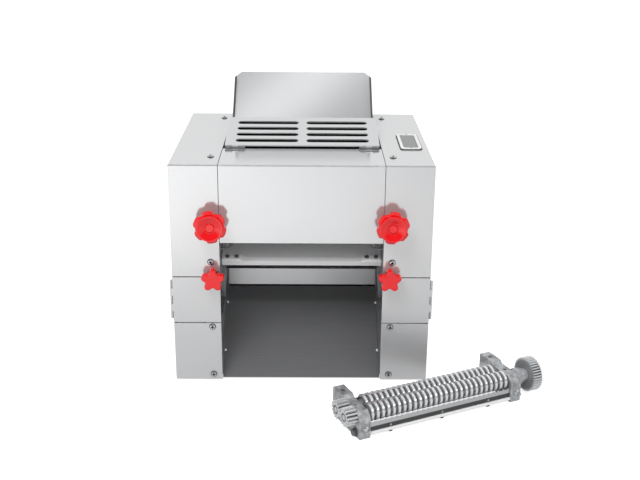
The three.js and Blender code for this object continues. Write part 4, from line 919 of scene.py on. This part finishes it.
# Adjusting knobs: glossy red mouldings on steel screws that set the gap of the rolls. Each
# has a rim with six broad lobes and U-shaped notches, and a proud round face with a bowl.
knob_lobes = 6
rim_steps = 32
notch_share = 0.125
notch_half = 0.28
notch_flat = 0.07
knob_stand_off = 0.020
knob_rim_thick = 0.009
knob_face = 0.0222
bowl_radius = 0.0187
bowl_depth = 0.0046
button_radius = 0.0072
button_sink = 0.8
button_taper = 0.94
groove_width = 0.0011
neck_start = 0.0003
neck_radius = 0.011
neck_flare = 0.016
neck_round = 0.001
rim_round = 0.0024
knob_round = 0.0016
knob_lean = math.radians(8)
knob_screw = 0.005
thread_round = 0.0008
overlap = 0.001


def lobed_disc(name, radius, thick, count, rim_shares):
    """A disc on the X axis from x = 0, its rim drawn in by shares that repeat all round."""
    steps = len(rim_shares)
    pitch = math.tau / (count * steps)
    bpy.ops.object.select_all(action="DESELECT")
    bpy.ops.mesh.primitive_circle_add(vertices=count * steps, radius=radius, fill_type="NGON",
                                      rotation=(0, math.pi / 2, 0))
    disc = bpy.context.object
    disc.name = disc.data.name = name
    bpy.ops.object.transform_apply()
    for number, share in enumerate(rim_shares):
        pick(disc, "VERT", lambda co: round(math.atan2(co.y, co.z) / pitch) % steps == number)
        bpy.ops.transform.resize(value=(1, share, share), center_override=(0, 0, 0))
        bpy.ops.object.mode_set(mode="OBJECT")
    bpy.ops.object.mode_set(mode="EDIT")
    bpy.ops.mesh.select_all(action="SELECT")
    bpy.ops.mesh.extrude_region_move(TRANSFORM_OT_translate={"value": (thick, 0, 0)})
    bpy.ops.mesh.select_all(action="SELECT")
    bpy.ops.mesh.normals_make_consistent(inside=False)
    bpy.ops.object.mode_set(mode="OBJECT")
    return disc


def set_knob(name, grip, screw, where):
    """Set a knob's grip and screw on the front. They ride on the body of the knob's node."""
    for made in (grip, screw):
        place(made, where, forward)
    fit(grip, red_plastic, f"{name}_knob", "red_plastic", f"{name}_knob")
    fit(screw, zinc, f"{name}_knob", "bright_steel")


low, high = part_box("left_adjusting_knob")
knob_radius = (high.z - low.z) / 2
knob_reach = front_face - low.y
screw_reach = high.y - front_face
rim_shares = []
for step in range(rim_steps):
    away = abs(step / rim_steps - 0.5)
    slope = min(max((away - notch_flat) / (notch_half - notch_flat), 0), 1)
    rim_shares.append(1 - notch_share * (0.5 + 0.5 * math.cos(math.pi * slope)))
rim = lobed_disc("knob_rim", knob_radius, knob_rim_thick, knob_lobes, rim_shares)
round_edges(rim, rim_round, 5, 50)
place(rim, (knob_stand_off, 0, 0))
bowl_floor = knob_reach - bowl_depth
button_top = knob_reach - bowl_depth * button_sink
face_line = [
    (knob_stand_off + knob_rim_thick / 2, 0),
    (knob_stand_off + knob_rim_thick / 2, knob_face),
    (knob_reach, knob_face),
    (knob_reach, bowl_radius),
    (bowl_floor, button_radius + 3 * groove_width),
    (bowl_floor, button_radius + groove_width),
    (bowl_floor - groove_width, button_radius + groove_width),
    (bowl_floor - groove_width, button_radius),
    (button_top, button_radius * button_taper),
    (button_top, 0),
]
face = lathe("knob_face", face_line)
round_edges(face, knob_round, 5, 35)
neck_line = [
    (neck_start, 0),
    (neck_start, neck_radius),
    (knob_stand_off / 2, neck_radius),
    (knob_stand_off + overlap, neck_flare),
    (knob_stand_off + overlap, 0),
]
neck = lathe("knob_neck", neck_line)
round_edges(neck, neck_round, 3, 35)
knob = join(rim, face, neck)
thread = rod("knob_thread", -screw_reach, overlap, knob_screw, thread_round)
for hand, lean in (("left", knob_lean), ("right", -knob_lean)):
    low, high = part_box(f"{hand}_adjusting_knob")
    where = ((low.x + high.x) / 2, front_face, (low.z + high.z) / 2)
    made = copy_of(knob, f"{hand}_adjusting_grip")
    place(made, (0, 0, 0), (lean, 0, 0))
    set_knob(f"{hand}_adjusting", made, copy_of(thread, f"{hand}_adjusting_screw"), where)
drop(knob, thread)


# Star knobs: small red mouldings with five round points, each on a steel screw and a loose
# washer, that close the doors of the columns.
star_points = 5
star_steps = 36
star_depth = 0.34
star_sharp = 1.25
star_thick = 0.014
star_stand_off = 0.010
star_height = 0.190
star_neck = 0.009
star_neck_start = 0.0022
star_neck_round = 0.0006
star_round = 0.0032
star_screw = 0.003
star_screw_end = 0.003
loose_hole = 0.0036
loose_steps = 64
loose_round = 0.0003
low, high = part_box("left_star_knob")
star_radius = high.z - star_height
star_shares = []
for step in range(star_steps):
    wave = 0.5 - 0.5 * math.cos(math.tau * step / star_steps)
    star_shares.append(1 - star_depth * wave ** star_sharp)
star = lobed_disc("star_points", star_radius, star_thick, star_points, star_shares)
round_edges(star, star_round, 5, 50)
place(star, (star_stand_off, 0, 0))
neck = rod("star_neck", star_neck_start, star_stand_off + overlap, star_neck, star_neck_round)
star = join(star, neck)
thread = rod("star_thread", front_face - high.y, star_screw_end, star_screw)
for hand in ("left", "right"):
    low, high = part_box(f"{hand}_star_washer")
    where = ((low.x + high.x) / 2, front_face, (low.z + high.z) / 2)
    made = copy_of(star, f"{hand}_star_grip")
    set_knob(f"{hand}_star", made, copy_of(thread, f"{hand}_star_screw"), where)
    made = rod(f"{hand}_loose_washer", front_face - high.y, front_face - low.y, high.z - where[2],
               loose_round, loose_steps, loose_hole)
    place(made, where, forward)
    fit(made, zinc, f"{hand}_star_washer", "bright_steel", f"{hand}_star_washer")
drop(star, thread)


# Noodle cutter: two cast end blocks, machined on top, that carry a pair of ringed rolls. Each
# has two oil holes in its top, a slotted bolt in a boss low on its front with a small nub
# beside it, and on its outer side a hexagon bolt that holds it in the machine's bay.
cutter_corner = (0.0933, -0.3957, -0.008)
cutter_turn = math.radians(25.33)
cutter_span = 0.3096
block_width = 0.020
block_dark_hex = "8C8E91"
block_light_hex = "CACCCE"
oil_hole = 0.0023
oil_depth = 0.008
oil_place = (0.078, 0.050)
boss_radius = 0.0064
boss_rise = 0.002
boss_sunk = 0.0002
boss_round = 0.0006
bolt_radius = 0.0046
bolt_rise = 0.0026
bolt_slot = 0.0014
bolt_height = 0.0195
nub_line = [(0, 0), (0, 0.0028), (0.0028, 0.0028), (0.0042, 0.0017), (0.0042, 0)]
nub_place = (0.0068, 0.013)
nub_round = 0.0004
hex_radius = 0.0062
hex_thick = 0.005
hex_round = 0.0007
seat_radius = 0.0078
seat_thick = 0.0014
seat_round = 0.0003
block_round = 0.0012
side_bolts = {"left": (0.013, 0.009), "right": (0.013, 0.020)}
block_cast = cast("cast_cutter_block", block_dark_hex, block_light_hex, 0.48, metal=0.45)


def on_cutter(piece, where=(0, 0, 0), turn=(0, 0, 0)):
    """Place a piece in the cutter's own frame, and then where the cutter stands."""
    place(piece, where, turn)
    place(piece, cutter_corner, (0, 0, cutter_turn))


slotted = screw_head("slotted_bolt", bolt_radius, bolt_rise, bolt_slot, False)
boss = rod("bolt_boss", -boss_sunk, boss_rise, boss_radius, boss_round, small_steps)
nub = lathe("block_nub", nub_line, pin_steps)
round_edges(nub, nub_round, 2)
hexagon = lobed_disc("hexagon_head", hex_radius, hex_thick, 6, (1,))
round_edges(hexagon, hex_round, 2)
place(hexagon, (seat_thick, 0, 0))
seat = rod("hexagon_seat", 0, seat_thick, seat_radius, seat_round, small_steps)
side_bolt = join(hexagon, seat)
for hand, middle, outer, turn, side_steel in (
    ("left", block_width / 2, 0, math.pi, aged),
    ("right", cutter_span - block_width / 2, cutter_span, 0, zinc),
):
    block = from_frame(f"{hand}_end_block", f"cutter_{hand}_block")
    drill = rod("oil_drill", -oil_depth, oil_depth, oil_hole, steps=pin_steps)
    on_cutter(drill, (middle, *oil_place), upward)
    cut_away(block, drill)
    round_edges(block, block_round)
    fit(block, block_cast, nodes[f"cutter_{hand}_block"]["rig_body"], "cast_steel", f"cutter_{hand}_block")
    for name, shape, finish, where, way_out in (
        ("bolt_boss", boss, block_cast, (middle, 0, bolt_height), forward),
        ("slotted_bolt", slotted, zinc, (middle, -boss_rise, bolt_height), forward),
        ("block_nub", nub, block_cast, (middle + nub_place[0], 0, nub_place[1]), forward),
        ("side_bolt", side_bolt, side_steel, (outer, *side_bolts[hand]), (0, 0, turn)),
    ):
        made = copy_of(shape, f"{hand}_{name}")
        on_cutter(made, where, way_out)
        fit(made, finish, "cutter", "bright_steel")
drop(slotted, boss, nub, side_bolt)


# Ringed rolls: turned from steel bar with bright square rings that run in each other's gaps
# and cut the sheet of dough into noodles. The cores between the rings are darker, which paints
# the shade in the gaps.
ring_radius = 0.0155
ring_width = 0.0045
ring_pitch = 0.00985
ring_count = 27
core_radius = 0.0114
roll_shaft = 0.008
roll_height = 0.035
roll_depths = {"front": 0.0205, "rear": 0.0485}
pinion_width = 0.018
pinion_gap = 0.0003
block_gap = 0.0006
core_round = 0.0003
turned_steps = 72
gear_end = 0.3486
shaft_dimple = 0.0042
ring_round = 0.0005
ring_sunk = 0.0002
ring_hex = "E6E7E9"
# The cores' dark grey is painted shade in the gaps between the rings.
groove_shade_hex = "86878A"
ring_steel = steel("ground_ring_steel", ring_hex, 0.2, line=ground_line, along="Y", depth=0.000005,
                   metal=0.65)
groove_shade_steel = steel("turned_groove_shade_steel", groove_shade_hex, 0.4, 0.1, ground_line, "Y")
ring_line = [
    (0, core_radius - ring_sunk),
    (0, ring_radius - ring_round),
    (ring_round, ring_radius),
    (ring_width - ring_round, ring_radius),
    (ring_width, ring_radius - ring_round),
    (ring_width, core_radius - ring_sunk),
    (0, core_radius - ring_sunk),
]
ring = lathe("cutting_ring", ring_line, turned_steps)
only(ring)
bpy.ops.object.shade_smooth_by_angle(angle=math.radians(30))
pinion_start = -pinion_gap - pinion_width
core_start = block_width + block_gap
core_end = cutter_span - block_width - block_gap
for row, fewer, right_end in (("front", 0, gear_end), ("rear", 1, cutter_span)):
    count = ring_count - fewer
    first = cutter_span / 2 - (count - 1) * ring_pitch / 2 - ring_width / 2
    rings = []
    for number in range(count):
        made = copy_of(ring, f"{row}_ring_{number}")
        place(made, (first + number * ring_pitch, roll_depths[row], roll_height))
        rings.append(made)
    rings = join(*rings)
    rings.name = rings.data.name = f"{row}_cutting_rings"
    on_cutter(rings)
    fit(rings, ring_steel, f"cutter_{row}", "bright_steel", f"cutter_{row}_roller")
    core_line = [
        (pinion_start + shaft_dimple / 2, 0),
        (pinion_start + shaft_dimple / 2, shaft_dimple),
        (pinion_start, shaft_dimple),
        (pinion_start, roll_shaft),
        (core_start, roll_shaft),
        (core_start, core_radius),
        (core_end, core_radius),
        (core_end, roll_shaft),
        (right_end, roll_shaft),
        (right_end, 0),
    ]
    core = lathe(f"{row}_roll_core", core_line, turned_steps)
    round_edges(core, core_round, 2)
    on_cutter(core, (0, roll_depths[row], roll_height))
    fit(core, groove_shade_steel, f"cutter_{row}", "dark_sheet")
drop(ring)


# Cutter gears: two equal pinions tie the rolls together on the left, and a larger gear with a
# turned hub on the right end of the front roll takes the drive from the machine. The teeth are
# hobbed bright and the gear's web is turned. A dark ring at the root of the teeth paints the
# shade in the gaps between them.
tooth_shares = (1, 1, 0.96, 0.8, 0.72, 0.72, 0.72, 0.8, 0.96, 1)
fine_shares = (1, 1, 0.985, 0.93, 0.885, 0.885, 0.885, 0.93, 0.985, 1)
pinion_teeth = 14
pinion_tip = 0.016
drive_teeth = 38
drive_tip = 0.0296
drive_thick = 0.018
hub_radius = 0.0115
hub_start = 0.3206
web_radius = 0.0255
tooth_round = 0.0004
web_proud = 0.0003
web_round = 0.0002
gap_inset = 0.0002
gap_round = 0.0001
hub_back = 0.0025
hub_into = 0.001
hub_inner = 0.86
hub_round = 0.0004
bright_hex = "DADCDE"
web_hex = "B2B4B7"
root_shade_hex = "4C4D50"
root_proud = 0.0003
tooth_steel = steel("hobbed_tooth_steel", bright_hex, 0.3, 0.08, 0.0006, metal=0.6)
web_steel = steel("turned_web_steel", web_hex, 0.38, 0.15, 0.0008, "Y", metal=0.7)
root_shade_steel = steel("painted_tooth_gap_shade_steel", root_shade_hex, 0.5, 0.1, 0.0006)
for row, start in (("front", 0), ("rear", 0.5)):
    on_roll = (0, roll_depths[row], roll_height)
    pinion = lobed_disc(f"{row}_pinion_steel", pinion_tip, pinion_width, pinion_teeth, tooth_shares)
    place(pinion, (0, 0, 0), (start * math.tau / pinion_teeth, 0, 0))
    round_edges(pinion, tooth_round, 2)
    place(pinion, (pinion_start, 0, 0))
    on_cutter(pinion, on_roll)
    fit(pinion, tooth_steel, f"cutter_{row}", "cast_steel", f"cutter_{row}_pinion")
    # A dark ring just outside the root of the teeth paints the shade in the gaps.
    root = pinion_tip * min(tooth_shares) + root_proud
    gaps = rod(f"{row}_pinion_gaps", pinion_start + gap_inset, -pinion_gap - gap_inset, root,
               gap_round, hole=roll_shaft)
    on_cutter(gaps, on_roll)
    fit(gaps, root_shade_steel, f"cutter_{row}", "dark_sheet")
on_roll = (0, roll_depths["front"], roll_height)
drive_start = gear_end - drive_thick
drive = lobed_disc("drive_gear_steel", drive_tip, drive_thick, drive_teeth, fine_shares)
round_edges(drive, tooth_round, 2)
place(drive, (drive_start, 0, 0))
on_cutter(drive, on_roll)
fit(drive, tooth_steel, "cutter_front", "cast_steel", "cutter_drive_gear")
web = rod("drive_gear_web", drive_start - web_proud, gear_end + web_proud, web_radius, web_round,
          hole=hub_radius)
root = drive_tip * min(fine_shares) + root_proud
gaps = rod("drive_gear_gaps", drive_start + gap_inset, gear_end - gap_inset, root, gap_round,
           hole=hub_radius)
hub_line = [
    (hub_start, roll_shaft),
    (hub_start, hub_radius),
    (drive_start - hub_back, hub_radius),
    (drive_start - hub_back, hub_radius * hub_inner),
    (drive_start + hub_into, hub_radius * hub_inner),
    (drive_start + hub_into, roll_shaft),
    (hub_start, roll_shaft),
]
hub = lathe("drive_gear_hub", hub_line)
round_edges(hub, hub_round, 2)
for made, finish in ((web, web_steel), (gaps, root_shade_steel), (hub, tooth_steel)):
    on_cutter(made, on_roll)
    fit(made, finish, "cutter_front", "cast_steel")


# Comb and tie bar: a notched steel comb takes the noodles off the front roll. A satin strip and
# a dark band with three small screws face it; the band's dark grey is painted shade. A bright
# flat bar, with three rubber buffers under it, ties the blocks.
band_low = 0.0098
band_high = 0.0172
band_front = 0.0030
band_thick = 0.001
band_screws = (0.058, 0.155, 0.246)
band_screw_radius = 0.0017
band_screw_rise = 0.0009
tie_low = 0.0046
tie_high = 0.0096
tie_front = 0.0004
tie_back = 0.0080
buffer_radius = 0.0042
buffer_drop = 0.0026
band_shade_hex = "47484A"
tie_hex = "FBFBFB"
strip_front = 0.0033
strip_thick = 0.0008
strip_high = 0.0246
comb_edge = 0.0003
thin_edge = 0.0002
tie_edge = 0.0008
buffer_taper = 0.8
buffer_edge = 0.0006
band_cross = 0.0005
# The band's dark grey is painted shade on the face under the comb.
band_shade_steel = steel("band_painted_shade", band_shade_hex, 0.5, 0.1, metal=0.3)
tie_steel = steel("polished_tie_steel", tie_hex, 0.25, metal=0.3)
dress("comb_strip", "cutter_comb_bar", blasted, "brushed_steel", comb_edge)
inside_span = cutter_span - 2 * block_width
middle = cutter_span / 2
for name, front, thick, bottom, top, finish, slot in (
    ("dark_band", band_front, band_thick, band_low, band_high, band_shade_steel, "dark_sheet"),
    ("comb_face_strip", strip_front, strip_thick, band_high, strip_high, satin, "brushed_steel"),
):
    made = bar(name, (inside_span, thick, top - bottom),
               (middle, front + thick / 2, (bottom + top) / 2))
    round_edges(made, thin_edge, 2)
    on_cutter(made)
    fit(made, finish, "cutter", slot)
tie = bar("tie_bar", (inside_span, tie_back - tie_front, tie_high - tie_low),
          (middle, (tie_front + tie_back) / 2, (tie_low + tie_high) / 2))
round_edges(tie, tie_edge, 3)
on_cutter(tie)
fit(tie, tie_steel, "cutter", "bright_steel", "cutter_tie_rod")
band_screw = screw_head("band_screw", band_screw_radius, band_screw_rise, band_cross, True)
buffer_foot = buffer_radius * buffer_taper
buffer_line = [(-buffer_drop, 0), (-buffer_drop, buffer_foot), (0, buffer_radius), (0, 0)]
buffer = lathe("tie_buffer", buffer_line, small_steps)
round_edges(buffer, buffer_edge, 2)
for number, across in enumerate(band_screws, 1):
    made = copy_of(band_screw, f"band_screw_{number}")
    on_cutter(made, (across, band_front, (band_low + band_high) / 2), forward)
    fit(made, zinc, "cutter", "bright_steel")
    made = copy_of(buffer, f"tie_buffer_{number}")
    on_cutter(made, (across, (tie_front + tie_back) / 2, tie_low), upward)
    fit(made, rubber, "cutter", "black_rubber")
drop(band_screw, buffer)


low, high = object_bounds()
